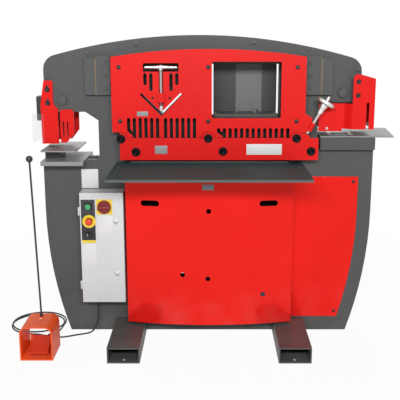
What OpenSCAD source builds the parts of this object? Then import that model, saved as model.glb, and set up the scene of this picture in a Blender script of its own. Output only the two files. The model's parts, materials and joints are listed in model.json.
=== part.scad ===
// Hydraulic ironworker: a punch, an angle shear, a flat-bar shear, a tool bay and a notcher.
// One beam slides down between two C-shaped plates and works all five stations.
// X runs to the operator's right, Y away from the operator, Z up. Sizes are in millimetres.
// The origin is on the floor, at the middle of the four anchor holes in the feet.

/* [Frame] */
// Height of the arch above the floor
frame_h = 1483; // [1440:1:1560]
// Thickness of each frame plate
plate_t = 32; // [25:1:40]
// Gap between the two plates
plate_gap = 76; // [76:1:100]
// Reach of the left bed from the middle
left_bed_x = 808; // [800:1:850]
// Reach of the right bed from the middle
right_bed_x = 796; // [790:1:840]
// Radius of the arch
arch_r = 2600; // [2400:10:3200]
// Gap between the frame plates and the floor
ground_gap = 8.5; // [6:0.5:20]
// Reach of the left arm from the middle
left_arm_x = 788; // [780:1:800]
// Reach of the right arm from the middle
right_arm_x = 724; // [720:1:735]
// Radius of the arms' upper corners
arm_corner_r = 70; // [50:1:90]
// Height of the bed under the punch table
punch_bed_z = 875; // [866:1:878]
// Height of the bed under the notcher bolster
notch_bed_z = 944; // [930:1:950]

/* [Feet] */
// Width of the foot tubes
foot_w = 152; // [120:1:170]
// Height of the foot tubes
foot_h = 76; // [60:1:90]
// Length of the foot tubes, front to back
foot_l = 910; // [860:1:1000]
// Wall of the foot tubes
foot_wall = 6; // [4:0.5:10]
// Distance between the anchor holes, left to right
anchor_x = 796; // [770:1:810]
// Distance from an anchor hole to the end of its tube
anchor_end = 32; // [25:1:60]
// Diameter of the anchor holes
anchor_d = 18; // [14:1:24]

/* [Beam] */
// Working stroke of the beam
stroke = 30; // [20:1:30]
// Thickness of the beam
beam_t = 70; // [60:1:70]
// Diameter of the hydraulic piston rod
rod_d = 60; // [40:1:70]
// Bore of the hydraulic cylinder
bore_d = 100; // [80:1:110]

/* [Guard] */
// Distance from the frame plate to the front of the red guard
guard_reach = 80; // [80:1:95]
// Thickness of the guard plate
guard_t = 10; // [6:1:12]
// Left edge of the guard from the middle
guard_left = 458; // [450:1:462]
// Right edge of the guard from the middle
guard_right = 451; // [449:1:452]
// Radius of the guard's upper edge
guard_top_r = 2900; // [2600:10:3400]
// Height of the guard's upper edge at the middle
guard_top_z = 1421; // [1410:1:1424]
// Width of the grille slots
grille_w = 16; // [10:1:18]
// Distance between the grille slots
grille_pitch = 27.2; // [24:0.1:28]

/* [Hold-downs] */
// Travel of the flat-bar hold-down
bar_travel = 12; // [8:1:12]
// Travel of the angle hold-down, up and down from the middle
pad_travel = 8; // [4:1:10]
// Diameter of both hold-down screws
screw_d = 15; // [12:0.5:16]
// Diameter of the handwheel
wheel_d = 90; // [70:1:92]
// Length of the T-handle between its end balls
t_handle_l = 142; // [120:1:143]

/* [Table and covers] */
// Height of the feed table's top
table_z = 876; // [872:1:880]
// Width of the feed table
table_w = 904; // [860:1:940]
// How far the feed table stands out from the frame
table_reach = 433; // [350:1:460]
// Thickness of the table's sheet
table_t = 6; // [4:0.5:8]
// Width of the bowed cover
cover_w = 806; // [790:1:808]
// Depth of the bowed cover at its sides
cover_side = 90; // [80:1:110]
// How far the cover bows out at its middle
cover_bow = 50; // [30:1:60]
// Bottom of the cover above the floor
cover_z0 = 90; // [84:1:100]
// Top of the cover above the floor
cover_z1 = 803; // [780:1:806]
// Thickness of the cover sheets
sheet_t = 3; // [2:0.5:4]

/* [Control box] */
// Width of the control box
box_w = 209; // [205:1:209]
// Height of the control box
box_h = 552; // [540:1:580]
// Depth of the control box, without its door
box_depth = 95; // [80:1:120]
// Bottom of the control box above the floor
box_z = 194; // [170:1:210]
// Right side of the box from the middle
box_right = 414; // [410:1:416]
// Travel of the start button
start_travel = 4; // [2:0.5:5]
// Travel of the stop button
stop_travel = 5; // [3:0.5:6]

/* [Foot switch] */
// Width of the foot switch guard
pedal_w = 152; // [140:1:160]
// Length of the foot switch guard
pedal_l = 180; // [170:1:190]
// Height of the foot switch guard
pedal_h = 165; // [150:1:180]
// Wall of the foot switch guard
pedal_wall = 6; // [5:0.5:8]
// Radius of the guard's shoulders
pedal_round = 34; // [20:1:50]
// Height of the ball knob's middle above the floor
pole_top = 930; // [800:1:1000]
// Diameter of the pole
pole_d = 9; // [8:1:12]
// Diameter of the ball knob
knob_d = 32; // [24:1:36]
// Diameter of the pedal cord
cord_d = 8; // [6:0.5:9]

/* [Hidden] */
$fn = 48;

steel = "#5d605f";
dark_steel = "#3c3f40";
beam_grey = "#6c7072";
bright = "#c9ccce";
red = "#e3201f";
dark_red = "#8e1b1b";
black = "#1c1d1e";
bronze = "#b08d57";
box_grey = "#c3c6c6";
yellow = "#e8c21c";
orange = "#e5502a";
motor_blue = "#3a5a78";

// Clearances
run_gap = 0.06;
body_gap = 0.3;
cut = 1;

// Planes that the pieces stand on, front to back
plate_y = plate_gap / 2;
front_y = -plate_y - plate_t;
rear_y = plate_y + plate_t;
guard_y = front_y - guard_reach;
guard_back = guard_y + guard_t;
anchor_y = foot_l - 2 * anchor_end;

// The arch and the curved lower sides
arch_x = -50;
arch_z = frame_h - arch_r;
side_r = 2000;
side_z = 640;
side_a = asin((ground_gap - side_z) / side_r);

// Throats under the two arms
left_throat_x = 534;
right_throat_x = 522;
left_arm_z = 1123;
right_arm_z = 1168;
throat_chamfer = [62, 41];
shelf_x = 600;
shelf_z = 890;
shelf_chamfer = 15;

// Bars between the plates, and bolts: X and depth below the arch, and the large ones on the arms.
// Washer width and height and hex height are parts of the bolt's width
spacer_in = 4;
spacer_h = 30;
spacer_end = 1;
bed_bar_h = 130;
bed_bar_in = 20;
arm_bar_in = 2;
arm_bar_rise = 10;
arm_bar_h = 80;
arm_bar_end = 8;
arch_bolts = [[-770, 88], [-576, 28], [-345, 26], [210, 23], [465, 13], [706, 47]];
arch_bolt_d = 18;
arm_bolts = [[-702, left_arm_z + 54], [635, right_arm_z + 45]];
arm_bolt_d = 42;
washer = [1.2, 0.12];
hex_h = 0.55;

// Openings that the frame, the beam and the guard share
tool_x0 = 10;
tool_x1 = 340;
tool_z0 = 1095;
tool_z1 = 1363;
tool_r = 12;
angle_x = -225;
angle_z = 1120;
angle_slot = 12;
angle_leg = 135;
angle_half = 120;
angle_low = 28;
angle_high = 120;
shear_half = 400;
shear_top = 39;
shear_sill = 3;
lower_blade_h = 40;
bay_half = 380;
bay_z0 = 120;
bay_z1 = 720;
bay_r = 20;
side_bay = [450, 140, 620, 700];

// Beam and pull yoke
beam_y = beam_t / 2;
beam_under = 1140;
beam_low = 950;
beam_half = 440;
beam_drop = 60;
nose_x = 836;
nose_z0 = 1077;
nose_z1 = 1193;
nose_w = 136;
beam_left = 740;
beam_right = 700;
window_gap = 15;
window_low = 20;
yoke_half = 500;
yoke_bar = 50;
yoke_z = 640;
yoke_h = 80;
yoke_y = 30;
blade_rake = 14;
blade_tip = 14;
blade_gap = 0.5;

// Cylinder
cyl_wall = 20;
cyl_r = bore_d / 2 + cyl_wall;
cyl_top = 470;
cyl_floor = 30;
piston_z = 300;
piston_h = 40;
gland_h = 15;

// Gibs: outer edge, wear strip and inner edge on each column, from the middle
gib_t = 30;
gib_z0 = 1206;
gib_z1 = 1376;
gib_rise = 11;
gib_strip = 4;
gib_inner_drop = 24;
gib_screws = [32, 88, 149];
gib_screw_in = 20;
gib_screw = [9, 8];
left_gib = [588, 536, 467];
right_gib = [583, 531, 457];

// Guard: its bottom seam, the step in its right edge, vents, grilles and screws
seam_z = 1010;
guard_ear = [485, 1102];
guard_notch_z = 1124;
window_in = [2, 6, 4];
window_r = 10;
vents = [[74, 1284, 56], [47, 1270, 84]];
left_grille = [-380, 1103, 92, 58];
mid_grille_x = -206;
right_grille = [44, 1055, 45, 17];
grille_foot = 11;
guard_pins = [for (x = [-420, -5, 410], z = [seam_z + 77, seam_z + 328]) [x, z]];
guard_screw = [10, 5];
boss_screws = [[angle_x - 40, 1196], [angle_x + 40, 1196]];
boss_screw = [6, 4];
standoff_r = 14;

// Hold-down bar, its bolts, and its slanted screw with stations along the screw from its tip
bar_z = 902;
bar_left = 424;
bar_right = 517;
bar_bolts = [[-418, 1003], [-5, 1006], [413, 1006]];
bar_bolt_step = [70, -62];
bar_pins = [for (p = bar_bolts, d = [0, 1]) p + d * bar_bolt_step];
bar_bolt_d = 16;
bar_washer = [21, 3];
bar_head = [14, 12];
bar_hex = [6, 7];
ear_r = 30;
ear_gap = 2.5;
ear_rise = 5;
slant = 30;
slant_dir = [sin(slant), 0, cos(slant)];
bar_tip = [460, 0, 1026];
bar_seat = [10, 17];
slant_l = 203;
slant_boss = [17, 61];
slant_boss_r = 12;
slant_weld = 9;
hub_t0 = 112;
hub_grow = [4, 11];
wheel_t0 = 171;
rim_r = 7;
spoke_d = 7;
spokes = 5;

// Angle hold-down screw
t_handle_z = 1337;
t_hub_r = 10.5;
t_end_r = 6.5;
t_slot_half = 83;
t_slot_h = pad_travel + t_hub_r + cut;
t_slot_r = 6;
t_boss = [1177, 1219];
t_boss_w = 32;
t_boss_y = 20;
screw_slot_w = 20;
pad_z = 1134;
pad_h = 26;
pad_r = 9;

// Punch station
punch_x = -775;
punch_table_t = 21;
punch_table_x = [-803, -600];
punch_table_y = [-163, 150];
die_z = punch_bed_z + punch_table_t;
die_h = 43;
die_holder_x = [-800, -722];
die_holder_y = 60;
die_plate_t = 7;
die_plate_x = [-803, -633];
die_plate_y = [-147, 160];
die_top = die_z + die_h + die_plate_t;
die_room = 16;
die_clear = 1;
punch_d = 22;
punch_tip = die_top + stroke - 4;
punch_neck = [16, 8];
nut_r = 34;
nut_h = 42;
nut_groove = [37, 6];
guard_plate_t = 8;
stripper = [[-806, 970], [-726, 970], [-726, 1120]];
stripper_top = [[-745, 1272], [-788, 1272], [-807, 1160]];
stripper_bite_r = 45;
stripper_bite_a = [245, 170];
stripper_pins = [[-772, 1165], [-772, 1229]];
stripper_screw = [12, 8];
stripper_slot = [13, 30, 6];
flap = [[-716, 975], [-688, 975], [-651, 1021], [-650, 1126], [-659, 1135], [-707, 1135], [-716, 1126]];
flap_slots = [-701, -682];
flap_slot = [9, 75, 1040];
shield_x = [-851, -795];
shield_z = [980, 1112];
shield_t = 3;

// Notcher station: bolster, plate and die, and the sheet guard with its front wing and its taller end
bolster_h = 59;
bolster_x = [532, 795];
bolster_y = 111;
notch_z = notch_bed_z + bolster_h;
notch_plate_t = 7;
notch_plate = [[531, -100], [884, -100], [915, 215], [531, 215]];
notch_x = [600, 680];
notch_y = beam_y - 1;
notch_low = notch_z + stroke + 2;
notch_gap = 1;
notch_rim = [20, 30];
hood_t = 4;
wing_y = front_y - 25;
hood_y = front_y - 60;
hood_x = [522, 780];
hood_bend = [634, 684];
hood_bend_steps = 10;
hood_z = [1046, 1166];
wing_z0 = 1033;
wing_hole = [563, 1046, 6.5];
hood_left = 676;
hood_top = [1306, 1284];
hood_top_r = 22;
hood_slot = [748, 1166, 13];
hood_pins = [[700, 1206], [700, 1270]];
hood_screw = [11, 6];

// Tool bay
shelf_t = 17;
shelf_bolts = [130, 227];
shelf_bolt = [24, 14];
back_t = 5;
back_in = [10, 8];
back_over = [20, 15];
back_pad = [130, 1122, 259, 1313];
back_pad_t = 3;

// Feed table and covers
table_lip = 22;
table_slot = [10, 230, 22];
gusset = [10, 40, 60];
gusset_h = [14, 58];
cover_hand = [284, 699, 28, 89];
cover_holes = [[-3, 665], [-130, 347], [-7, 328], [262, 242]];
cover_hole_d = 24;
panel_gap = 2;
panel_side = 68;
panel_low = 7;
panel_high = 4;
rear_cover_over = [30, 20];
rear_cover_r = 15;
louvre_x = 180;
louvre_z = [190 : 40 : 350];
louvre = [10, 120];

// Control box: the door's fittings hang from its top and left edges
box_left = box_right + box_w;
box_top = box_z + box_h;
box_front = front_y - box_depth;
box_wall = 2;
door_t = 3;
door_y = box_front - body_gap - door_t;
switch_plate_t = 2;
plate_y1 = door_y - switch_plate_t;
hinge_x = -box_left - 5;
hinge_y = door_y;
hinge_z = [box_z + 70, box_top - 110];
knuckle_r = 4.5;
knuckle_h = 20;
pin_wall = 2;
leaf_t = 2;
leaf_y = [5, 20];
start_at = [-box_left + 40, box_top - 68];
stop_at = [-box_left + 43, box_top - 140];
selector_at = [-box_left + 37, box_top - 209];
isolator_at = [-box_left + 118, box_top - 69];
button_plate = [-box_left + 6, box_top - 234, -box_left + 73, box_top - 33];
isolator_plate = [-box_left + 81, box_top - 106, -box_left + 156, box_top - 32];
switch_plate_r = 3;
stop_ring = [32, 16, 3];
stem_d = 10;
stem_in = 6;
start_r = 14;
start_out = 4;
stop_r = 16;
stop_out = [24, 14];
selector_r = 15;
selector_out = [9, 22];
selector_grip = [9, 28];
isolator_r = 33;
isolator_out = [10, 28];
isolator_grip = [16, 60];
latch_x = -box_right - 37;
latch_z = [box_top - 142, box_z + 148];
latch_r = 11;
latch_out = 6;
latch_in = 4;
latch_tongue = [26, 3, 2];

// Hydraulic pack
tank = [[110, -160, 120], [356, 60, 360]];
filler = [40, 40, 30];
motor_at = [240, -60];
motor_r = 80;
motor_h = 230;
motor_flange = [8, 14];
motor_shell_in = 6;
motor_cap_h = 40;
fin_step = 15;
fin_t = 3;
fin_z = [20, 50];
valve = [5, 5, 40, 50, 60];
hose_d = 16;
hose_y = [0, 30];
hose_z = [200, 400];

// Foot switch
pedal_x = -806;
pedal_y0 = -424;
pedal_y1 = pedal_y0 + pedal_l;
pedal_back_h = 88;
pole_y = pedal_y1 - 40;
pole_nut = [9, 12];
pole_lean = 1.4;
toe_notch = [22, 22];
pin_y = pedal_y1 - 22;
pin_z = 58;
pin_r = 4;
treadle_w = 92;
treadle_y0 = pedal_y0 + 24;
treadle_z0 = 22;
treadle_t = [8, 10];
lug_t = 10;
lug_x = treadle_w / 2 + 9;
lug_r = 12;

// Cord: hand-chosen points from the gland to the loops, and from the loops to the foot switch
gland_at = [-556, -120];
gland_l = 30;
gland_nut = 10;
gland_grow = [5, 9, 16];
cord_r = cord_d / 2;
cord_sides = 8;
loop_at = [-892, 22];
loop_r = 140;
loop_step = 14;
loop_turns = 1.75;
loop_rings = 24;
loop_sides = 6;
loop_lift = cord_d + 0.6;
cord_floor = cord_r + 0.2;
cord_in = [[-556, -120, 164], [-556, -120, 140], [-557, -120, 110], [-561, -120, 80], [-569, -119, 52],
    [-583, -117, 28], [-603, -115, 12], [-630, -116, 5], [-660, -125, 4.2], [-695, -142, 4.2],
    [-735, -157, 4.2], [-780, -154, 4.2], [-820, -140, 4.2], [-855, -126, 4.2]];
cord_out = [[-755, -20, 12.6], [-758, -60, 12.6], [-764, -100, 12.6], [-772, -140, 13], [-783, -175, 15],
    [-796, -204, 18], [-804, -226, 20], [pedal_x, pedal_y1 + cord_d, 20], [pedal_x, pedal_y1, 20]];

// Outline helpers: an upright sheet in X and Z, a sheet in Y and Z, and rounded shapes
module upright(y0, t) translate([0, y0 + t, 0]) rotate([90, 0, 0]) linear_extrude(t) children();
module across(x0, t) translate([x0, 0, 0]) rotate([90, 0, 90]) linear_extrude(t) children();
module span(x0, z0, x1, z1) translate([x0, z0]) square([x1 - x0, z1 - z0]);
module round_span(x0, z0, x1, z1, r) {
    span(x0 + r, z0, x1 - r, z1);
    span(x0, z0 + r, x1, z1 - r);
    for (x = [x0 + r, x1 - r], z = [z0 + r, z1 - r]) translate([x, z]) circle(r);
}
module slot_between(p, q, w) translate((p + q) / 2) rotate(atan2(q[1] - p[1], q[0] - p[0])) {
    square([norm(q - p), w], center = true);
    for (s = [-1, 1]) translate([s * norm(q - p) / 2, 0]) circle(d = w);
}
module stadium(x, z, w, h) slot_between([x, z - (h - w) / 2], [x, z + (h - w) / 2], w);
module block(low, high) translate(low) cube(high - low);
module peg(p, y0, y1, r) translate([p[0], y1, p[1]]) rotate([90, 0, 0]) cylinder(r = r, h = y1 - y0);
module head(p, y, size) peg(p, y - size[1], y, size[0]);
function arc(x, z, r, a0, a1, n) = [for (i = [0 : n]) let (a = a0 + (a1 - a0) * i / n)
    [x + r * cos(a), z + r * sin(a)]];
function smooth(t) = t * t * (3 - 2 * t);

// Where an arm's corner round meets the arch, as the round's middle and its angle
function corner(x) = let (z = arch_z + sqrt(pow(arch_r - arm_corner_r, 2) - pow(x - arch_x, 2)))
    [x, z, atan2(z - arch_z, x - arch_x)];
right_corner = corner(right_arm_x - arm_corner_r);
left_corner = corner(-left_arm_x + arm_corner_r);

// One frame plate's outline, anticlockwise from the lower right
module frame_outline() polygon(concat(
    arc(right_bed_x - side_r, side_z, side_r, side_a, 0, 8),
    [[right_bed_x, notch_bed_z], [right_throat_x, notch_bed_z]],
    [[right_throat_x, right_arm_z - throat_chamfer[1]], [right_throat_x + throat_chamfer[0], right_arm_z]],
    [[right_arm_x, right_arm_z]],
    arc(right_corner[0], right_corner[1], arm_corner_r, 0, right_corner[2], 6),
    arc(arch_x, arch_z, arch_r, right_corner[2], left_corner[2], 24),
    arc(left_corner[0], left_corner[1], arm_corner_r, left_corner[2], 180, 6),
    [[-left_arm_x, left_arm_z], [-left_throat_x - throat_chamfer[0], left_arm_z]],
    [[-left_throat_x, left_arm_z - throat_chamfer[1]], [-left_throat_x, shelf_z + shelf_chamfer]],
    [[-left_throat_x - shelf_chamfer, shelf_z], [-shelf_x, shelf_z], [-shelf_x, punch_bed_z]],
    [[-left_bed_x, punch_bed_z]],
    arc(-left_bed_x + side_r, side_z, side_r, 180, 180 - side_a, 8)));

// Openings that both plates have
module plate_openings() {
    round_span(tool_x0, tool_z0, tool_x1, tool_z1, tool_r);
    round_span(-bay_half, bay_z0, bay_half, bay_z1, bay_r);
    for (s = [-1, 1]) span(s * anchor_x / 2 - foot_w / 2, 0, s * anchor_x / 2 + foot_w / 2, foot_h);
}
module angle_pocket()
    span(angle_x - angle_half, angle_z - angle_low, angle_x + angle_half, angle_z + angle_high);
module angle_v(w) translate([angle_x, angle_z]) for (s = [-1, 1]) rotate(45 * s)
    translate([-w / 2, -w / 2]) square([w, angle_leg + w / 2]);

module front_plate() color(steel) upright(front_y, plate_t) difference() {
    frame_outline();
    plate_openings();
    angle_pocket();
    span(-shear_half, table_z - lower_blade_h, shear_half, table_z + shear_top);
    round_span(side_bay[0], side_bay[1], side_bay[2], side_bay[3], bay_r);
}
module rear_plate() color(steel) upright(plate_y, plate_t) difference() {
    frame_outline();
    plate_openings();
    angle_pocket();
    span(-shear_half, table_z - shear_sill, shear_half, table_z + shear_top);
}

// Bars between the plates: under the arch, under both beds, across the base and in the left arm
module plate_spacers() color(steel) upright(-plate_y, plate_gap) {
    a0 = right_corner[2] + spacer_end;
    a1 = left_corner[2] - spacer_end;
    polygon(concat(arc(arch_x, arch_z, arch_r - spacer_in, a0, a1, 24),
        arc(arch_x, arch_z, arch_r - spacer_in - spacer_h, a1, a0, 24)));
    span(-left_bed_x + bed_bar_in, punch_bed_z - bed_bar_h, -shelf_x + bed_bar_in, punch_bed_z);
    span(shelf_x - bed_bar_in, notch_bed_z - bed_bar_h, right_bed_x - bed_bar_in, notch_bed_z);
    span(-bay_half, foot_h, bay_half, bay_z0);
    arm_bar_z = nose_z1 + arm_bar_rise;
    span(-left_arm_x + arm_bar_in, arm_bar_z, -beam_left - arm_bar_end, arm_bar_z + arm_bar_h);
}

// Hex heads on washers, front and rear: small ones along the arch and a large one on each arm
module hex_head(p, d) for (s = [-1, 1]) translate([p[0], s * rear_y, p[1]]) rotate([-90 * s, 0, 0]) {
    cylinder(d = d * washer[0], h = d * washer[1]);
    cylinder(d = d, h = d * hex_h, $fn = 6);
}
module frame_bolts() color(steel) {
    for (b = arch_bolts)
        hex_head([b[0], arch_z + sqrt(pow(arch_r - b[1], 2) - pow(b[0] - arch_x, 2))], arch_bolt_d);
    for (p = arm_bolts) hex_head(p, arm_bolt_d);
}

// Rectangular tubes through notches in both plates, with an anchor hole near each end
module feet() color(dark_steel) for (s = [-1, 1]) translate([s * anchor_x / 2, 0, foot_h / 2]) difference() {
    cube([foot_w, foot_l, foot_h], center = true);
    cube([foot_w - 2 * foot_wall, foot_l + 2 * cut, foot_h - 2 * foot_wall], center = true);
    for (y = [-1, 1]) translate([0, y * anchor_y / 2, -foot_h / 2 - cut])
        cylinder(d = anchor_d, h = foot_wall + 2 * cut);
}

// Gib blocks on the front plate with their screws, and the bronze strips between them and beside the beam
module gib_pair(g) {
    upright(front_y - gib_t, gib_t) {
        span(g[1] + gib_strip / 2, gib_z0, g[0], gib_z1);
        span(g[2], gib_z0, g[1] - gib_strip / 2, gib_z1 + gib_rise);
    }
    for (z = gib_screws) head([g[2] + gib_screw_in, gib_z0 + z], front_y - gib_t, gib_screw);
}
module gib_strips(g) {
    upright(front_y - gib_t, gib_t) span(g[1] - gib_strip / 2, gib_z0, g[1] + gib_strip / 2, gib_z1);
    for (y = [-plate_y, beam_y + run_gap]) upright(y, plate_y - beam_y - run_gap)
        span(g[2], gib_z0, g[0], gib_z1 - gib_inner_drop);
}
module gib_blocks() color(steel) {
    scale([-1, 1, 1]) gib_pair(left_gib);
    gib_pair(right_gib);
}
module bronze_gibs() color(bronze) {
    scale([-1, 1, 1]) gib_strips(left_gib);
    gib_strips(right_gib);
}

// Red guard: grilles, V slot, T slot, tool window, and the two threaded bosses
function slant_edge(t) = [bar_tip[0] + t * sin(slant) - slant_weld * cos(slant),
    bar_tip[2] + t * cos(slant) + slant_weld * sin(slant)];
module guard_outline() polygon(concat(
    [[-guard_left, seam_z], [guard_right, seam_z], slant_edge(slant_boss[0]), slant_edge(slant_boss[1])],
    [guard_ear, [guard_right, guard_notch_z]],
    arc(0, guard_top_z - guard_top_r, guard_top_r, acos(guard_right / guard_top_r),
        180 - acos(guard_left / guard_top_r), 16)));
module grille_slot(x, g) {
    stadium(x, g[1] - g[2] / 2, grille_w, g[2]);
    span(x - grille_w / 2, seam_z - cut, x + grille_w / 2, g[1] - g[2] / 2);
}
// A row whose first slot turns aside above the bar's ear and joins the second; g is X, top, height and turn
module led_grille(g, count) {
    turn = [g[0], g[1] - g[3]];
    slot_between([g[0], g[1] - grille_w / 2], turn, grille_w);
    slot_between(turn, [g[0] + grille_pitch, seam_z + grille_foot], grille_w);
    for (i = [1 : count - 1]) grille_slot(g[0] + i * grille_pitch, g);
}
module ear_path(r) for (p = bar_bolts) {
    down = bar_travel * [sin(slant), cos(slant)];
    slot_between(p - down, p, 2 * r);
}
module along_slant(t) translate([bar_tip[0], guard_y, bar_tip[2]] + t * slant_dir)
    rotate([0, slant, 0]) children();
module guard_cuts() {
    ear_path(ear_r + ear_gap);
    span(-guard_left - cut, seam_z - cut, bar_bolts[0][0], bar_bolts[0][1] + ear_r + ear_gap);
    span(bar_bolts[2][0], seam_z - cut, guard_right + ear_r, bar_tip[2] + ear_rise + ear_gap);
    round_span(tool_x0 + window_in[0], tool_z0 + window_in[1], tool_x1 - window_in[2], tool_z1, window_r);
    round_span(angle_x - t_slot_half, t_handle_z - t_slot_h,
        angle_x + t_slot_half, t_handle_z + t_slot_h, t_slot_r);
    span(angle_x - screw_slot_w / 2, angle_z, angle_x + screw_slot_w / 2, t_handle_z);
    angle_v(angle_slot);
    for (x = [-1, 1], v = vents) stadium(angle_x + x * v[0], v[1], grille_w, v[2]);
    led_grille(left_grille, 6);
    for (i = [0 : 5]) grille_slot(mid_grille_x + i * grille_pitch, left_grille);
    led_grille(right_grille, 13);
}
module front_guard() color(red) difference() {
    union() {
        upright(guard_y, guard_t) difference() {
            guard_outline();
            guard_cuts();
        }
        upright(guard_y - t_boss_y, 2 * t_boss_y)
            span(angle_x - t_boss_w / 2, t_boss[0], angle_x + t_boss_w / 2, t_boss[1]);
        along_slant(slant_boss[0]) cylinder(r = slant_boss_r, h = slant_boss[1] - slant_boss[0]);
    }
    translate([angle_x, guard_y, t_boss[0] - cut])
        cylinder(d = screw_d + 2 * body_gap, h = t_boss[1] - t_boss[0] + 2 * cut);
    along_slant(slant_boss[0] - ear_r) cylinder(d = screw_d + 2 * body_gap, h = slant_boss[1] + 2 * ear_r);
}
module guard_standoffs() color(steel) {
    for (p = guard_pins) peg(p, guard_back, front_y, standoff_r);
    for (p = bar_pins) peg(p, guard_back + body_gap, front_y, standoff_r);
    for (p = hood_pins) {
        peg(p, hood_y + hood_t, front_y, standoff_r);
        peg(p, rear_y, -hood_y - hood_t, standoff_r);
    }
}
module guard_screws() color(black) {
    for (p = guard_pins) head(p, guard_y, guard_screw);
    for (p = boss_screws) head(p, guard_y, boss_screw);
    for (p = hood_pins) head(p, hood_y, hood_screw);
    for (p = stripper_pins) head(p, front_y - guard_plate_t, stripper_screw);
}

// Hold-down bar on its shouldered bolts, and the screw that pushes it down
module holddown_bolts() color(black) for (p = bar_pins) {
    seat = guard_y - body_gap;
    peg(p, seat, guard_back + body_gap, bar_bolt_d / 2);
    head(p, seat, bar_washer);
    top = seat - bar_washer[1] - bar_head[1];
    difference() {
        peg(p, top, seat - bar_washer[1], bar_head[0]);
        peg(p, top - cut, top + bar_hex[1], bar_hex[0]);
    }
}
function seat_point(side) =
    [bar_tip[0] + side * cos(slant) - body_gap, bar_tip[2] - side * sin(slant) - body_gap];
module holddown_bar() color(red) upright(guard_y, guard_t) difference() {
    union() {
        span(-bar_left, bar_z, bar_right, seam_z - ear_gap);
        intersection() {
            for (p = bar_bolts) translate(p) circle(ear_r);
            span(-bar_left, bar_z, bar_right, seam_z + ear_r);
        }
        polygon([[bar_bolts[2][0], bar_z], [seat_point(bar_seat[1])[0], bar_z], seat_point(bar_seat[1]),
            seat_point(-bar_seat[0]), [bar_bolts[2][0], bar_tip[2] + ear_rise - body_gap]]);
    }
    for (p = bar_pins)
        slot_between(p, p + bar_travel * [sin(slant), cos(slant)], bar_bolt_d + 2 * body_gap);
}
module holddown_screw() color(bright) along_slant(0) {
    cylinder(d = screw_d, h = slant_l);
    translate([0, 0, hub_t0]) cylinder(r1 = screw_d / 2 + hub_grow[0], r2 = screw_d / 2 + hub_grow[1],
        h = wheel_t0 + rim_r - hub_t0);
    translate([0, 0, wheel_t0]) {
        rotate_extrude() translate([wheel_d / 2 - rim_r, 0]) circle(rim_r);
        for (i = [1 : spokes]) rotate(i * 360 / spokes) rotate([0, 90, 0])
            cylinder(d = spoke_d, h = wheel_d / 2 - rim_r);
    }
}

// Angle hold-down: a T-handle, thick at its middle, on the screw that carries the pad
module angle_screw() color(bright) translate([angle_x, guard_y, 0]) {
    translate([0, 0, pad_z + pad_h]) cylinder(d = screw_d, h = t_handle_z - pad_z - pad_h);
    for (s = [-1, 1]) translate([0, 0, t_handle_z]) {
        rotate([0, 90 * s, 0]) cylinder(r1 = t_hub_r, r2 = t_end_r, h = t_handle_l / 2);
        translate([s * t_handle_l / 2, 0, 0]) sphere(t_end_r + body_gap);
    }
}
module angle_pad() color(bright) translate([angle_x, guard_y, pad_z])
    cylinder(r1 = screw_d / 2, r2 = pad_r, h = pad_h);

// Feed table: bent sheet with a front lip, a slot near both ends, and a gusset under each end
module feed_table() color(steel) {
    difference() {
        across(-table_w / 2, table_w) {
            span(front_y - table_reach, table_z - table_t, front_y, table_z);
            span(front_y - table_reach, table_z - table_lip, front_y - table_reach + table_t, table_z);
        }
        for (s = [-1, 1])
            translate([s * (table_w / 2 - table_slot[2]), front_y - table_reach / 2, table_z - table_t - cut])
                linear_extrude(table_t + 2 * cut) stadium(0, 0, table_slot[0], table_slot[1]);
    }
    for (s = [-1, 1]) across(s * (table_w / 2 - gusset[1]) - gusset[0] / 2, gusset[0]) polygon([
        [front_y, table_z - table_t], [front_y - table_reach + gusset[2], table_z - table_t],
        [front_y - table_reach + gusset[2], table_z - table_t - gusset_h[0]],
        [front_y, table_z - table_t - gusset_h[1]]]);
}

// Blades: the lower flat blade and the fixed angle blade are in the front plate, the others on the beam
module lower_shear_blade() color(bright) upright(front_y, plate_t)
    span(-shear_half, table_z - lower_blade_h, shear_half, table_z);
module upper_shear_blade() color(bright) upright(-plate_y + blade_gap, plate_t) polygon([
    [-shear_half, table_z + blade_tip], [shear_half, table_z + blade_tip + blade_rake],
    [shear_half, beam_low], [-shear_half, beam_low]]);
module angle_blade(y0) color(dark_steel) upright(y0, plate_t) difference() {
    angle_pocket();
    angle_v(angle_slot);
}
module fixed_angle_blade() angle_blade(front_y);
module moving_angle_blade() angle_blade(-beam_y);

// Beam: arched top, nose over the punch, a window round the tool bay and a lower bar for the shear blade
module beam() color(beam_grey) upright(-beam_y, beam_t) difference() {
    top_r = arch_r - beam_drop;
    polygon(concat([[-nose_x, nose_z0], [-nose_x + nose_w, nose_z0], [-nose_x + nose_w, beam_under]],
        [[-beam_half, beam_under], [-beam_half, beam_low], [beam_half, beam_low], [beam_half, beam_under]],
        [[beam_right, beam_under]],
        arc(arch_x, arch_z, top_r, acos((beam_right - arch_x) / top_r),
            180 - acos((beam_left + arch_x) / top_r), 20),
        [[-beam_left, nose_z1], [-nose_x, nose_z1]]));
    round_span(tool_x0 - window_gap, tool_z0 - window_low,
        tool_x1 + window_gap, tool_z1 - window_gap, tool_r);
    angle_pocket();
}
module pull_yoke() color(beam_grey) upright(-yoke_y, 2 * yoke_y) difference() {
    span(-yoke_half, yoke_z, yoke_half, beam_under);
    span(-yoke_half + yoke_bar, yoke_z + yoke_h, yoke_half - yoke_bar, beam_under + cut);
}

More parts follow.
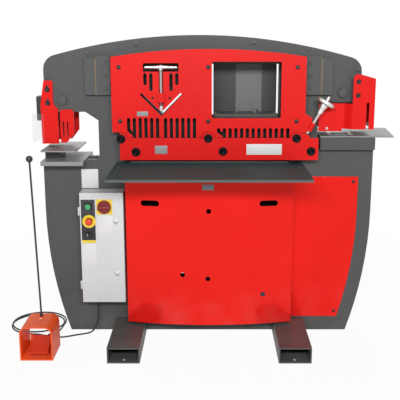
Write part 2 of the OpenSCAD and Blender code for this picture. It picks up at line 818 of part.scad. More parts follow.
// Cylinder with a blind bore, and the rod with its piston
module cylinder_body() color(dark_steel) difference() {
    translate([0, 0, bay_z0]) cylinder(r = cyl_r, h = cyl_top - bay_z0);
    translate([0, 0, bay_z0 + cyl_floor]) cylinder(d = bore_d, h = cyl_top - gland_h - bay_z0 - cyl_floor);
    translate([0, 0, cyl_top - gland_h - cut]) cylinder(d = rod_d + 2 * run_gap, h = gland_h + 2 * cut);
}
module cylinder_rod() color(bright) translate([0, 0, piston_z]) {
    cylinder(d = rod_d, h = yoke_z - piston_z);
    cylinder(d = bore_d - 2 * run_gap, h = piston_h);
}

// Punch station: grooved nut and punch on the beam, table, die holder and plate, and the red guards
module punch_ram() color(beam_grey) translate([punch_x, 0, nose_z0 - nut_h]) difference() {
    cylinder(r = nut_r, h = nut_h);
    for (a = [0 : 60 : 300]) rotate(a) translate([nut_groove[0], 0, -cut])
        cylinder(r = nut_groove[1], h = nut_h + 2 * cut);
}
module punch() color(bright) translate([punch_x, 0, punch_tip]) {
    shank = punch_neck[0] + punch_neck[1];
    cylinder(d = punch_d, h = punch_neck[0]);
    translate([0, 0, punch_neck[0]]) cylinder(d1 = punch_d, d2 = punch_d + punch_neck[1], h = punch_neck[1]);
    translate([0, 0, shank]) cylinder(d = punch_d + punch_neck[1], h = nose_z0 - nut_h - punch_tip - shank);
}
module punch_table() color(steel)
    block([punch_table_x[0], punch_table_y[0], punch_bed_z], [punch_table_x[1], punch_table_y[1], die_z]);
module die_holder() color(black) difference() {
    block([die_holder_x[0], -die_holder_y, die_z], [die_holder_x[1], die_holder_y, die_z + die_h]);
    translate([punch_x, 0, die_z - cut]) cylinder(d = punch_d + die_clear, h = die_h + 2 * cut);
}
module die_plate() color(bright) difference() {
    block([die_plate_x[0], die_plate_y[0], die_z + die_h], [die_plate_x[1], die_plate_y[1], die_top]);
    translate([punch_x, 0, die_z]) cylinder(d = punch_d + die_room, h = die_h + die_plate_t + cut);
}
module both_faces(t) for (y = [front_y - t, rear_y]) upright(y, t) children();
module punch_guard() color(red) both_faces(guard_plate_t) difference() {
    bite = arc(arm_bolts[0][0], arm_bolts[0][1], stripper_bite_r, stripper_bite_a[0], stripper_bite_a[1], 5);
    polygon(concat(stripper, bite, stripper_top));
    for (p = stripper_pins) stadium(p[0], p[1] + stripper_slot[2], stripper_slot[0], stripper_slot[1]);
}
module punch_flaps() color(red) both_faces(guard_plate_t) difference() {
    polygon(flap);
    for (x = flap_slots) stadium(x, flap_slot[2], flap_slot[0], flap_slot[1]);
}
module clear_shield() color("lightblue", 0.4) translate([0, 0, shield_z[0]])
    linear_extrude(shield_z[1] - shield_z[0]) difference() {
        span(shield_x[0], front_y - guard_plate_t - shield_t, shield_x[1], rear_y + guard_plate_t + shield_t);
        span(shield_x[0] + shield_t, front_y - guard_plate_t, shield_x[1] + cut, rear_y + guard_plate_t);
    }

// Notcher station
module notcher_bolster() color(steel)
    block([bolster_x[0], -bolster_y, notch_bed_z], [bolster_x[1], bolster_y, notch_z]);
module notch_span(rim) span(notch_x[0] - rim[0], -notch_y - rim[1], notch_x[1] + rim[0], notch_y + rim[1]);
module notcher_plate() color(bright) translate([0, 0, notch_z]) linear_extrude(notch_plate_t) difference() {
    polygon(notch_plate);
    notch_span(notch_rim);
}
module notcher_die() color(dark_steel) translate([0, 0, notch_z]) linear_extrude(notch_plate_t) difference() {
    notch_span(notch_rim);
    notch_span([notch_gap, notch_gap]);
}
module notcher_blade() color(bright)
    block([notch_x[0], -notch_y, notch_low], [notch_x[1], notch_y, beam_under]);

// Sheet guard in plan: a wing along each face, an easy bend outwards, and a wall across the end
hood_path = [for (i = [0 : hood_bend_steps]) let (t = i / hood_bend_steps)
    [hood_bend[0] + t * (hood_bend[1] - hood_bend[0]), wing_y + smooth(t) * (hood_y - wing_y)]];
module wing_plan() for (s = [-1, 1]) scale([1, s]) span(hood_x[0], wing_y, hood_bend[0], wing_y + hood_t);
module hood_plan() {
    front = concat([[hood_x[0], wing_y]], hood_path, [[hood_x[1], hood_y]]);
    last = len(front) - 1;
    inner = [for (i = [last : -1 : 0]) front[i] + [0, hood_t]];
    for (s = [-1, 1]) scale([1, s]) polygon(concat(front, inner));
    span(hood_x[1] - hood_t, hood_y, hood_x[1], -hood_y);
}
module hood_face() polygon(concat([[hood_x[1], hood_z[1] - cut], [hood_x[1], hood_top[1]]],
    arc(hood_left + hood_top_r, hood_top[0] - hood_top_r, hood_top_r, 90, 180, 6),
    [[hood_left, hood_z[1] - cut]]));
module notcher_guard() color(red) difference() {
    union() {
        translate([0, 0, hood_z[0]]) linear_extrude(hood_z[1] - hood_z[0]) hood_plan();
        translate([0, 0, wing_z0]) linear_extrude(hood_z[0] - wing_z0 + cut) wing_plan();
        intersection() {
            translate([0, 0, hood_z[1] - cut]) linear_extrude(hood_top[0] - hood_z[1] + 2 * cut) hood_plan();
            upright(hood_y - cut, 2 * cut - 2 * hood_y) hood_face();
        }
    }
    upright(hood_y - cut, hood_t + 2 * cut)
        slot_between([hood_slot[0], hood_slot[1]], [hood_slot[0], hood_z[0] - hood_slot[2]], hood_slot[2]);
    upright(wing_y - cut, hood_t + 2 * cut) translate([wing_hole[0], wing_hole[1]]) circle(wing_hole[2]);
}

// Tool bay: the shelf across both plates with its two bolts, and the plate behind with its raised pad
module tool_shelf() color(steel) {
    block([tool_x0 + tool_r, front_y, tool_z0], [tool_x1 - tool_r, rear_y, tool_z0 + shelf_t]);
    for (x = shelf_bolts) translate([x, 0, tool_z0 + shelf_t]) cylinder(d = shelf_bolt[0], h = shelf_bolt[1]);
}
module tool_back_plate() color(steel) {
    upright(rear_y, back_t)
        span(tool_x0 + back_in[0], tool_z0 - back_over[0], tool_x1 - back_in[1], tool_z1 + back_over[1]);
    upright(rear_y - back_pad_t, back_pad_t)
        round_span(back_pad[0], back_pad[1], back_pad[2], back_pad[3], tool_r);
}

// Covers: the bowed sheet with returned sides, the flat panel beside it, and the louvred rear one
cover_r = (pow(cover_w / 2, 2) + pow(cover_bow, 2)) / (2 * cover_bow);
cover_front = front_y - cover_side - cover_bow;
module cover_plan() {
    intersection() {
        translate([0, cover_front + cover_r]) difference() {
            circle(cover_r, $fn = 360);
            circle(cover_r - sheet_t, $fn = 360);
        }
        span(-cover_w / 2, cover_front - cut, cover_w / 2, front_y);
    }
    for (x = [-cover_w / 2, cover_w / 2 - sheet_t]) translate([x, front_y - cover_side])
        square([sheet_t, cover_side]);
}
module front_cover() color(red) difference() {
    translate([0, 0, cover_z0]) linear_extrude(cover_z1 - cover_z0) cover_plan();
    upright(cover_front - cut, cover_side) {
        for (s = [-1, 1]) translate([s * cover_hand[0], cover_hand[1]]) rotate(90)
            stadium(0, 0, cover_hand[2], cover_hand[3]);
        for (p = cover_holes) translate(p) circle(d = cover_hole_d);
    }
}
module side_panel() color(red) upright(front_y - sheet_t, sheet_t) {
    low = cover_z0 - panel_low;
    high = cover_z1 + panel_high;
    left = cover_w / 2 + panel_gap;
    edge_r = side_r - panel_side;
    edge = arc(right_bed_x - side_r, side_z, edge_r, asin((low - side_z) / edge_r), 0, 8);
    polygon(concat([[left, low]], edge,
        [[right_bed_x - panel_side, high], [left, high]]));
}
module rear_cover() color(steel) upright(rear_y, sheet_t) difference() {
    round_span(-bay_half - rear_cover_over[0], bay_z0 - rear_cover_over[1], bay_half + rear_cover_over[0],
        bay_z1 + rear_cover_over[1], rear_cover_r);
    for (z = louvre_z, x = [-louvre_x, louvre_x]) translate([x, z]) rotate(90)
        stadium(0, 0, louvre[0], louvre[1]);
}

// Control box: five sheets tacked edge to edge with a hairline seam, two bolt-on hinge leaves with their
// knuckles and pins, and the door that hangs on them
module control_box() color(box_grey) {
    x0 = -box_left + box_wall + run_gap;
    x1 = -box_right - box_wall - run_gap;
    back_y = front_y - box_wall;
    for (x = [-box_left, -box_right - box_wall])
        block([x, box_front, box_z], [x + box_wall, front_y, box_top]);
    block([x0, back_y + run_gap, box_z], [x1, front_y, box_top]);
    block([x0, box_front, box_top - box_wall], [x1, back_y, box_top]);
    difference() {
        block([x0, box_front, box_z], [x1, back_y, box_z + box_wall]);
        translate([gland_at[0], gland_at[1], box_z - cut]) cylinder(d = cord_d, h = box_wall + 2 * cut);
    }
    for (z = hinge_z) {
        translate([hinge_x, hinge_y, z]) cylinder(r = knuckle_r, h = knuckle_h);
        translate([hinge_x, hinge_y, z]) cylinder(r = knuckle_r - pin_wall, h = 2 * knuckle_h);
        top = z + knuckle_h;
        block([hinge_x - leaf_t / 2, hinge_y, z], [hinge_x + leaf_t / 2, box_front + leaf_y[1], top]);
        block([hinge_x - leaf_t / 2, box_front + leaf_y[0], z],
            [-box_left - run_gap, box_front + leaf_y[1], top]);
    }
}
module stem_holes(y0, y1) {
    peg(start_at, y0, y1, start_r);
    for (p = [stop_at, selector_at, isolator_at]) peg(p, y0, y1, stem_d / 2 + body_gap);
}
module box_door() color(box_grey) {
    difference() {
        block([-box_left, door_y, box_z], [-box_right, door_y + door_t, box_top]);
        stem_holes(door_y - cut, door_y + door_t + cut);
        for (z = latch_z) peg([latch_x, z], door_y - cut, door_y + door_t + cut, stem_d / 2 + body_gap);
    }
    for (z = hinge_z) translate([0, 0, z + knuckle_h + body_gap]) difference() {
        union() {
            translate([hinge_x, hinge_y, 0]) cylinder(r = knuckle_r, h = knuckle_h);
            block([hinge_x, door_y, 0], [-box_left + cut, door_y + door_t - run_gap, knuckle_h]);
        }
        translate([hinge_x, hinge_y, -cut])
            cylinder(r = knuckle_r - pin_wall + run_gap, h = knuckle_h + 2 * cut);
    }
}
module plate_span(s) round_span(s[0], s[1], s[2], s[3], switch_plate_r);
module switch_plates() color(yellow) {
    difference() {
        upright(plate_y1, switch_plate_t) {
            plate_span(button_plate);
            plate_span(isolator_plate);
        }
        stem_holes(plate_y1 - cut, door_y + cut);
    }
    difference() {
        head(stop_at, plate_y1, [stop_ring[0], stop_ring[2]]);
        peg(stop_at, plate_y1 - stop_ring[2] - cut, plate_y1 + cut, stop_ring[1]);
    }
}
module knob_stem(p, y0) peg(p, y0, door_y + door_t + stem_in, stem_d / 2);
module start_button() color("green")
    peg(start_at, plate_y1 - start_travel - start_out, door_y + door_t, start_r - body_gap);
module stop_button() color(red) {
    knob_stem(stop_at, plate_y1 - stop_out[1]);
    peg(stop_at, plate_y1 - stop_out[0], plate_y1 - stop_ring[2] - stop_travel - cut, stop_r);
}
module selector_knob() color(black) {
    knob_stem(selector_at, plate_y1 - selector_out[0]);
    peg(selector_at, plate_y1 - selector_out[0], plate_y1 - body_gap, selector_r);
    upright(plate_y1 - selector_out[1], selector_out[1] - selector_out[0])
        stadium(selector_at[0], selector_at[1], selector_grip[0], selector_grip[1]);
}
module disconnect_knob() color(dark_red) {
    knob_stem(isolator_at, plate_y1 - isolator_out[0]);
    peg(isolator_at, plate_y1 - isolator_out[0], plate_y1 - body_gap, isolator_r);
    upright(plate_y1 - isolator_out[1], isolator_out[1] - isolator_out[0])
        translate(isolator_at) rotate(90) stadium(0, 0, isolator_grip[0], isolator_grip[1]);
}
module latch(z) color(bright) {
    back = door_y + door_t + latch_in;
    peg([latch_x, z], door_y - latch_out, door_y - body_gap, latch_r);
    peg([latch_x, z], door_y - body_gap, back, stem_d / 2);
    upright(back, latch_tongue[1]) translate([latch_x, z])
        round_span(-stem_d / 2, -stem_d / 2, latch_tongue[0], stem_d / 2, latch_tongue[2]);
}
module upper_latch() latch(latch_z[0]);
module lower_latch() latch(latch_z[1]);
module cord_gland() color(black) translate([gland_at[0], gland_at[1], box_z - gland_l]) difference() {
    union() {
        cylinder(d1 = cord_d + gland_grow[0], d2 = cord_d + gland_grow[1], h = gland_l - gland_nut);
        translate([0, 0, gland_l - gland_nut]) cylinder(d = cord_d + gland_grow[2], h = gland_nut, $fn = 6);
    }
    translate([0, 0, -cut]) cylinder(d = cord_d / 2, h = gland_l + 2 * cut);
}

// Hydraulic pack: tank on the base bar, motor and valve block on its lid, and two hoses to the cylinder
module oil_tank() color(dark_steel) {
    block(tank[0], tank[1]);
    translate([tank[1][0] - filler[0], tank[1][1] - filler[0], tank[1][2]])
        cylinder(d = filler[1], h = filler[2]);
}
module pump_motor() color(motor_blue) {
    translate([motor_at[0], motor_at[1], tank[1][2]]) {
        cylinder(r = motor_r + motor_flange[0], h = motor_flange[1]);
        cylinder(r = motor_r - motor_shell_in, h = motor_h);
        for (a = [0 : fin_step : 360 - fin_step]) rotate(a) translate([0, -fin_t / 2, fin_z[0]])
            cube([motor_r, fin_t, motor_h - fin_z[0] - fin_z[1]]);
        translate([0, 0, motor_h - motor_cap_h]) cylinder(r = motor_r, h = motor_cap_h);
    }
    block([tank[0][0] + valve[0], valve[1], tank[1][2]],
        [tank[0][0] + valve[0] + valve[2], valve[1] + valve[3], tank[1][2] + valve[4]]);
}
module oil_hoses() color(black) difference() {
    for (i = [0, 1]) translate([0, hose_y[i], hose_z[i]]) rotate([0, 90, 0])
        cylinder(d = hose_d, h = tank[0][0] + i * valve[0]);
    translate([0, 0, bay_z0]) cylinder(r = cyl_r, h = cyl_top);
}

// A round tube along a path, as one solid with flat ends
function ring(p, q, at, r, n) = let (d = (q - p) / norm(q - p),
    up = norm(cross(d, [0, 0, 1])) > 0.2 ? [0, 0, 1] : [0, 1, 0],
    u = cross(d, up) / norm(cross(d, up)), v = cross(d, u))
    [for (i = [0 : n - 1]) at + r * (u * cos(360 * i / n) + v * sin(360 * i / n))];
module sweep(path, r, n) {
    last = len(path) - 1;
    points = [for (i = [0 : last]) each ring(path[max(i - 1, 0)], path[min(i + 1, last)], path[i], r, n)];
    sides = [for (i = [0 : last - 1], j = [0 : n - 1]) let (k = (j + 1) % n, a = i * n, b = a + n)
        each [[a + j, b + j, a + k], [b + j, b + k, a + k]]];
    ends = [[for (j = [0 : n - 1]) j], [for (j = [n - 1 : -1 : 0]) last * n + j]];
    polyhedron(points, concat(ends, sides));
}

// Foot switch: a round-shouldered shell with a low back, a pole with a ball knob, and a treadle on its pin
module pedal_profile(inset) polygon(concat(
    [[-pedal_w / 2 + inset, inset], [pedal_w / 2 - inset, inset]],
    arc(pedal_w / 2 - pedal_round, pedal_h - pedal_round, pedal_round - inset, 0, 90, 6),
    arc(-pedal_w / 2 + pedal_round, pedal_h - pedal_round, pedal_round - inset, 90, 180, 6)));
module pedal_guard() color(orange) difference() {
    union() {
        translate([pedal_x, 0, 0]) {
            upright(pedal_y0, pedal_l) difference() {
                pedal_profile(0);
                pedal_profile(pedal_wall);
            }
            upright(pedal_y1 - pedal_wall, pedal_wall) span(-pedal_w / 2, 0, pedal_w / 2, pedal_back_h);
        }
        for (s = [-1, 1]) across(pedal_x + s * lug_x - lug_t / 2, lug_t) {
            span(pin_y - lug_r, pedal_wall, pin_y + lug_r, pin_z);
            translate([pin_y, pin_z]) circle(lug_r);
        }
    }
    translate([pedal_x, pole_y - toe_notch[1], pedal_h - toe_notch[0]])
        cylinder(d = toe_notch[0], h = 2 * toe_notch[0]);
    translate([pedal_x - lug_x - lug_t, pin_y, pin_z]) rotate([0, 90, 0])
        cylinder(r = pin_r + run_gap, h = 2 * (lug_x + lug_t));
}
module treadle() color(orange) {
    across(pedal_x - treadle_w / 2, treadle_w) polygon([
        [treadle_y0, treadle_z0], [pin_y, pin_z - treadle_t[1] / 2],
        [pin_y, pin_z + treadle_t[1] / 2], [treadle_y0, treadle_z0 + treadle_t[0]]]);
    translate([pedal_x - lug_x - lug_t / 2, pin_y, pin_z]) rotate([0, 90, 0])
        cylinder(r = pin_r, h = 2 * lug_x + lug_t);
}
module pedal_pole() color(black) translate([pedal_x, pole_y, pedal_h]) {
    foot = pole_nut[1] / 2;
    cylinder(d = pole_d + pole_nut[0], h = pole_nut[1], $fn = 6);
    translate([0, 0, foot]) rotate([0, -pole_lean, 0]) {
        cylinder(d = pole_d, h = pole_top - pedal_h - foot);
        translate([0, 0, pole_top - pedal_h - foot]) sphere(d = knob_d);
    }
}

// Loops: spiral in on the floor, climb half a turn, and spiral out on the layer above
function loop_point(t) = let (a = -90 - 360 * t, r = loop_r - loop_step * min(t, loop_turns - t),
    k = min(max((t - loop_turns / 2 + 0.25) / 0.5, 0), 1))
    [loop_at[0] + r * cos(a), loop_at[1] + r * sin(a), cord_floor + smooth(k) * loop_lift];
loop_path = [for (i = [0 : loop_rings * loop_turns]) loop_point(i / loop_rings)];
loop_last = len(loop_path) - 1;
loop_ends = [loop_path[0], loop_path[loop_last]];
loop_apart = min([for (i = [0 : loop_last], j = [0 : loop_last]) if (abs(i - j) > loop_rings / 2)
    norm(loop_path[i] - loop_path[j])]) - cord_d;
echo(loop_gap = loop_apart);
module cord_loops() color(black) sweep(loop_path, cord_r, loop_sides);
module pedal_cord() color(black) {
    sweep(concat(cord_in, [loop_ends[0]]), cord_r, cord_sides);
    sweep(concat([loop_ends[1]], cord_out), cord_r, cord_sides);
}

front_plate();
rear_plate();
plate_spacers();
frame_bolts();
feet();
gib_blocks();
bronze_gibs();
front_guard();
guard_standoffs();
guard_screws();
holddown_bolts();
feed_table();
lower_shear_blade();
fixed_angle_blade();
punch_table();
die_holder();
die_plate();
punch_guard();
punch_flaps();
clear_shield();
notcher_bolster();
notcher_plate();
notcher_die();
notcher_guard();
tool_shelf();
tool_back_plate();
front_cover();
side_panel();
rear_cover();
control_box();
cord_gland();
cylinder_body();
oil_tank();
pump_motor();
oil_hoses();
pedal_guard();
pedal_pole();
pedal_cord();
cord_loops();
beam();
pull_yoke();
cylinder_rod();
upper_shear_blade();
moving_angle_blade();
punch_ram();
punch();
notcher_blade();
angle_pad();
angle_screw();
holddown_bar();
holddown_screw();
box_door();
switch_plates();
disconnect_knob();
start_button();
stop_button();
selector_knob();
upper_latch();
lower_latch();
treadle();
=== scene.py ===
# %% [markdown]
# # Dressing an ironworker
# The machine's solids come from its CAD model: two arched plates, a sliding beam between them, and the
# five work stations. This lesson gives them rounded edges, fasteners, screw threads and painted or ground
# finishes, and never moves a part. Lengths are in metres unless a name says otherwise.

# %% Load the CAD model as a fixed frame
import json
import math

import bpy
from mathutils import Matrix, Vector

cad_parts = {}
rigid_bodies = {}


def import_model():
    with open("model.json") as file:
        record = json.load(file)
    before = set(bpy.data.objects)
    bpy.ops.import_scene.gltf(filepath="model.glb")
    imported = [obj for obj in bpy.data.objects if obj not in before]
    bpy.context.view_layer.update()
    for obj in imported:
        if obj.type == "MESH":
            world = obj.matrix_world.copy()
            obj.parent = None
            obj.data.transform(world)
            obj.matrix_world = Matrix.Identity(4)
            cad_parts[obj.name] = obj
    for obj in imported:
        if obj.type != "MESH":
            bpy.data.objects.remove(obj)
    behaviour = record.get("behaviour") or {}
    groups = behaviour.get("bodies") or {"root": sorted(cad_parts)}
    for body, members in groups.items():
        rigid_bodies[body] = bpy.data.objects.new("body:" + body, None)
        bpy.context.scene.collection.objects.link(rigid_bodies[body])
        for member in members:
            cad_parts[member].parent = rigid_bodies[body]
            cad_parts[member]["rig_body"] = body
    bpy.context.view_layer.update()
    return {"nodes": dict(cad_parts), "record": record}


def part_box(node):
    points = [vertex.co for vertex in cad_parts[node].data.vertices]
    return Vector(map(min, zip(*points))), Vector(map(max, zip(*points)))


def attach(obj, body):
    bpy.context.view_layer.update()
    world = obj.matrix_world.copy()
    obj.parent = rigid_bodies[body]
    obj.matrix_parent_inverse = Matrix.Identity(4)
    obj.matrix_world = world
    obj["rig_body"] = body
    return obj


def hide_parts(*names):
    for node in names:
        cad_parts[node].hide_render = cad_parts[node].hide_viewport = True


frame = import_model()
nodes = frame["nodes"]
MM = 0.001

# %% [markdown]
# ## Camera
# A product photograph of a large machine is taken from some metres away, a little above its middle. The
# focal length is known in pixels of the square picture, so the lens follows from the sensor's width.
# The machine stands a little right of the picture's middle, which is a small lens shift and not a turn.

# %% Camera at the photograph's viewing angle
PICTURE_PX = 400
FOCAL_PX = 749
MACHINE_OFFSET_PX = 9.3
SENSOR_MM = 36
EYE = (0, -3.669, 1.5068)
LOOK_DOWN = math.radians(12.8)

bpy.ops.object.camera_add(location=EYE, rotation=(math.pi / 2 - LOOK_DOWN, 0, 0))
camera = bpy.context.object
camera.data.sensor_width = SENSOR_MM
camera.data.lens = SENSOR_MM * FOCAL_PX / PICTURE_PX
camera.data.shift_x = -MACHINE_OFFSET_PX / PICTURE_PX
bpy.context.scene.camera = camera
bpy.context.scene.view_settings.view_transform = "Standard"
print("lens", round(camera.data.lens, 1), "mm")

# %% [markdown]
# ## Foot switch cord
# The cord leaves a gland under the control box, drops to the floor, lies in two loops behind the foot
# switch and goes into its back. A Bezier curve through listed points bends the way rubber does, and
# the loops are worked out: they spiral in on the floor, climb in half a turn and spiral out again.

# %% The cord's route, in millimetres
CORD_D = 8
LOOP_AT = (-892, 22)
LOOP_R = 140
LOOP_STEP = 14
LOOP_TURNS = 1.75
RINGS_PER_TURN = 24
CORD_FLOOR = CORD_D / 2 + 0.2
LAYER = CORD_D + 0.6
cord_in = [(-556, -120, 164), (-556, -120, 140), (-557, -120, 110), (-561, -120, 80), (-569, -119, 52),
           (-583, -117, 28), (-603, -115, 12), (-630, -116, 5), (-660, -125, 4.2), (-695, -142, 4.2),
           (-735, -157, 4.2), (-780, -154, 4.2), (-820, -140, 4.2), (-855, -126, 4.2)]
cord_out = [(-755, -20, 12.6), (-758, -60, 12.6), (-764, -100, 12.6), (-772, -140, 13), (-783, -175, 15),
            (-796, -204, 18), (-804, -226, 20), (-806, -236, 20), (-806, -244, 20)]


def loop_point(turn):
    """A point of the loops, some turns after their start."""
    angle = math.radians(-90 - 360 * turn)
    inward = min(turn, LOOP_TURNS - turn)
    radius = LOOP_R - LOOP_STEP * inward
    climb = min(max((turn - LOOP_TURNS / 2 + 0.25) / 0.5, 0), 1)
    height = CORD_FLOOR + LAYER * climb * climb * (3 - 2 * climb)
    return LOOP_AT[0] + radius * math.cos(angle), LOOP_AT[1] + radius * math.sin(angle), height


loops = [loop_point(i / RINGS_PER_TURN) for i in range(round(RINGS_PER_TURN * LOOP_TURNS) + 1)]
cord_route = [Vector(p) * MM for p in cord_in + loops + cord_out]


def cord_curve(name, route, diameter):
    """A round Bezier tube through the route's points; the knots hold its radius, so its box is true."""
    bpy.ops.object.select_all(action="DESELECT")
    bpy.ops.curve.primitive_bezier_curve_add()
    cord = bpy.context.object
    cord.name = name
    spline = cord.data.splines[0]
    spline.bezier_points.add(len(route) - len(spline.bezier_points))
    for knot, point in zip(spline.bezier_points, route):
        knot.co = point
        knot.radius = diameter / 2
        knot.handle_left_type = "AUTO"
        knot.handle_right_type = "AUTO"
    spline.resolution_u = 4
    cord.data.bevel_depth = 1
    cord.data.bevel_resolution = 4
    cord.data.use_fill_caps = True
    bpy.context.view_layer.update()
    return cord


pedal_lead = cord_curve("pedal_lead", cord_route, CORD_D * MM)
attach(pedal_lead, "frame")
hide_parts("pedal_cord", "cord_loops")

# %% [markdown]
# ## Shader maths
# A finish is a few noises mixed by arithmetic. One small class wraps a node's socket, so that ordinary
# Python expressions add the Math nodes, and one method adds any other node.


# %% A socket that can be added and multiplied
class Wire:
    """One output socket of a material's node tree, or the tree itself when it has no socket."""

    def __init__(self, tree, socket=None):
        self.tree = tree
        self.socket = socket

    def node(self, kind, settings=None, sockets=None, out=0):
        """Add a node, set it up, plug in its sockets and return one of its outputs."""
        made = self.tree.nodes.new(kind)
        for name, value in (settings or {}).items():
            setattr(made, name, value)
        for name, value in (sockets or {}).items():
            if isinstance(value, Wire):
                self.tree.links.new(value.socket, made.inputs[name])
            else:
                made.inputs[name].default_value = value
        return Wire(self.tree, made.outputs[out])

    def maths(self, operation, first, second):
        """A Math node on two numbers or wires."""
        return self.node("ShaderNodeMath", {"operation": operation}, {0: first, 1: second})

    def __add__(self, other):
        return self.maths("ADD", self, other)

    __radd__ = __add__

    def __mul__(self, other):
        return self.maths("MULTIPLY", self, other)

    __rmul__ = __mul__

    def __sub__(self, other):
        return self.maths("SUBTRACT", self, other)

    def __rsub__(self, other):
        return self.maths("SUBTRACT", other, self)

    def over(self, low, high):
        """0 below low, 1 above high, and a straight rise between them."""
        return self.node("ShaderNodeMapRange", {"clamp": True},
                         {"Value": self, "From Min": low, "From Max": high, "To Min": 0.0, "To Max": 1.0})

    def noise(self, scale, detail=3.0, stretch=(1, 1, 1)):
        """Noise on this coordinate, with its grain drawn out along an axis where stretch is small."""
        place = self.node("ShaderNodeMapping", {}, {"Vector": self, "Scale": stretch})
        return self.node("ShaderNodeTexNoise", {}, {"Vector": place, "Scale": scale, "Detail": detail})

    def blend(self, first, second):
        """This mask's mix of two colours."""
        return self.node("ShaderNodeMix", {"data_type": "RGBA"}, {0: self, 6: first, 7: second}, 2)

    def part(self, axis):
        """One number of a vector."""
        return self.node("ShaderNodeSeparateXYZ", {}, {0: self}, axis)


def tone(colour, share):
    """A colour made lighter or darker, with its alpha."""
    return tuple(min(1, c * share) for c in colour[:3]) + (1,)


def finish_of(name, **sockets):
    """A new material, its shader, and a wire that holds Object coordinates."""
    material = bpy.data.materials.new(name)
    material.use_nodes = True
    shader = material.node_tree.nodes["Principled BSDF"]
    for socket, value in sockets.items():
        shader.inputs[socket.replace("_", " ")].default_value = value
    place = Wire(material.node_tree).node("ShaderNodeTexCoord", out="Object")
    return material, shader, place


def plug(shader, **wires):
    """Feed wires into a shader's sockets; an underscore stands for a space in a socket's name."""
    for socket, wire in wires.items():
        wire.tree.links.new(wire.socket, shader.inputs[socket.replace("_", " ")])


def bumped(height, distance):
    """A Bump node's normal; the height is a share of the distance, which is in metres."""
    return height.node("ShaderNodeBump", {}, {"Strength": 1.0, "Distance": distance, "Height": height})


print("shader maths ready")

# %% [markdown]
# ## Painted steel
# Sprayed enamel isn't flat: it has a fine orange-peel skin, drifts a little in tone from one spray pass to
# the next, and gathers floor dust low down. Edges are lighter, partly where the coat pulls thin and, on the
# frame and the feed table, partly as a painted highlight. The Bevel node finds edges: its normal leans away
# from the face's own normal there. A patch is a stretch of another tone: the frame plate behind the guard
# is painted near black, a painted shade; the tool bay's back plate has a lighter upright band; and the feed
# table's top is painted dark, a painted shade and reflection, while its lip keeps a lighter grey.


# %% Enamel and powder coat
EDGE_REACH = 0.003
EDGE_LEAN = (0.03, 0.25)
DUST_TOP = 0.3
DUST = (0.32, 0.30, 0.27, 1)


def edge_mask(place, radius):
    """0 on flat faces, rising to 1 on edges and corners within the radius."""
    soft = place.node("ShaderNodeBevel", {"samples": 6}, {"Radius": radius})
    flat = place.node("ShaderNodeNewGeometry", out="Normal")
    facing = place.node("ShaderNodeVectorMath", {"operation": "DOT_PRODUCT"}, {0: soft, 1: flat}, "Value")
    return (1 - facing).over(*EDGE_LEAN)


def within(value, low, high, soft):
    """1 between two values and 0 beyond them, with soft ends."""
    return value.over(low - soft, low + soft) * (1 - value.over(high - soft, high + soft))


def enamel(name, colour, roughness, coat, peel, peel_scale=260.0, dust=0.2, edge=0.3, grain=0.0, shine=0.3,
           patch=None, **sockets):
    """Sprayed paint. peel is the orange-peel skin's depth in metres, and dust, edge and grain are shares;
    edge lightens the edges, for a coat worn thin and for a painted highlight. patch is a stretch of X, one of
    Z, the softness of its ends, its share and its colour."""
    material, shader, place = finish_of(name, Coat_Roughness=0.1, Specular_IOR_Level=shine, **sockets)
    cloud = place.noise(2.3, 4.0)
    fine = place.noise(55.0, 5.0)
    mist = place.noise(peel_scale, 2.0)
    drift = (cloud * 0.7 + fine * 0.3).over(0.3, 0.7)
    body = drift.blend(tone(colour, 0.9), tone(colour, 1.08))
    speck = place.noise(620.0, 1.0).over(0.62, 0.72) * grain
    body = speck.blend(body, tone(colour, 1.7))
    # Lighter edges: partly a coat worn thin, partly a painted highlight where edges catch the light.
    rim = edge_mask(place, EDGE_REACH) * place.noise(35.0, 4.0).over(0.35, 0.6) * edge
    body = rim.blend(body, tone(tuple(0.6 * c + 0.25 for c in colour[:3]), 1.0))
    height = place.part("Z")
    low = (1 - height.over(0.0, DUST_TOP)) * place.noise(9.0, 6.0).over(0.4, 0.75) * dust
    body = low.blend(body, DUST)
    if patch:
        across, upward, soft, share, other = patch
        inside = within(place.part("X"), *across, soft) * within(height, *upward, soft) * share
        body = inside.blend(body, other + (1,))
    rough = roughness + (fine - 0.5) * 0.10 + low * 0.3
    plug(shader, Base_Color=body, Roughness=rough, Coat_Weight=coat - low * coat,
         Normal=bumped(mist * 0.7 + fine * 0.3, peel))
    return material


FRAME_GREY = (0.085, 0.089, 0.087)
# Painted shade and reflection: the feed table's top is painted dark, and LIP_PATCH keeps its lip a lighter
# grey.
TABLE_TOP_SHADE = (0.044, 0.076, 0.075)
BAY_GREY = (0.042, 0.043, 0.043)
# Painted light: the punch table wears a much lighter copy of the frame's grey, for its top lit from above.
BED_LIT_GREY = (0.270, 0.275, 0.270)
GUARD_RED = (0.74, 0.010, 0.008)
COVER_RED = (0.82, 0.015, 0.011)
# Painted shade: the front plate behind the guard is painted near black, for the dark space between guard and
# plate.
PLATE_SHADE_PATCH = ((-0.44, 0.43), (0.98, 1.38), 0.01, 0.85, (0.004, 0.004, 0.004))
# A lighter upright band on the tool bay's back plate.
BAY_BAND_PATCH = ((0.130, 0.259), (1.05, 1.36), 0.004, 1.0, (0.165, 0.165, 0.163))
# The feed table's lip keeps a lighter grey than its top, whose dark is painted shade and reflection.
LIP_PATCH = ((-0.5, 0.5), (0.80, 0.8754), 0.0004, 1.0, (0.115, 0.118, 0.115))
GLOSS_RED = (1.0, 0.06, 0.05, 1)
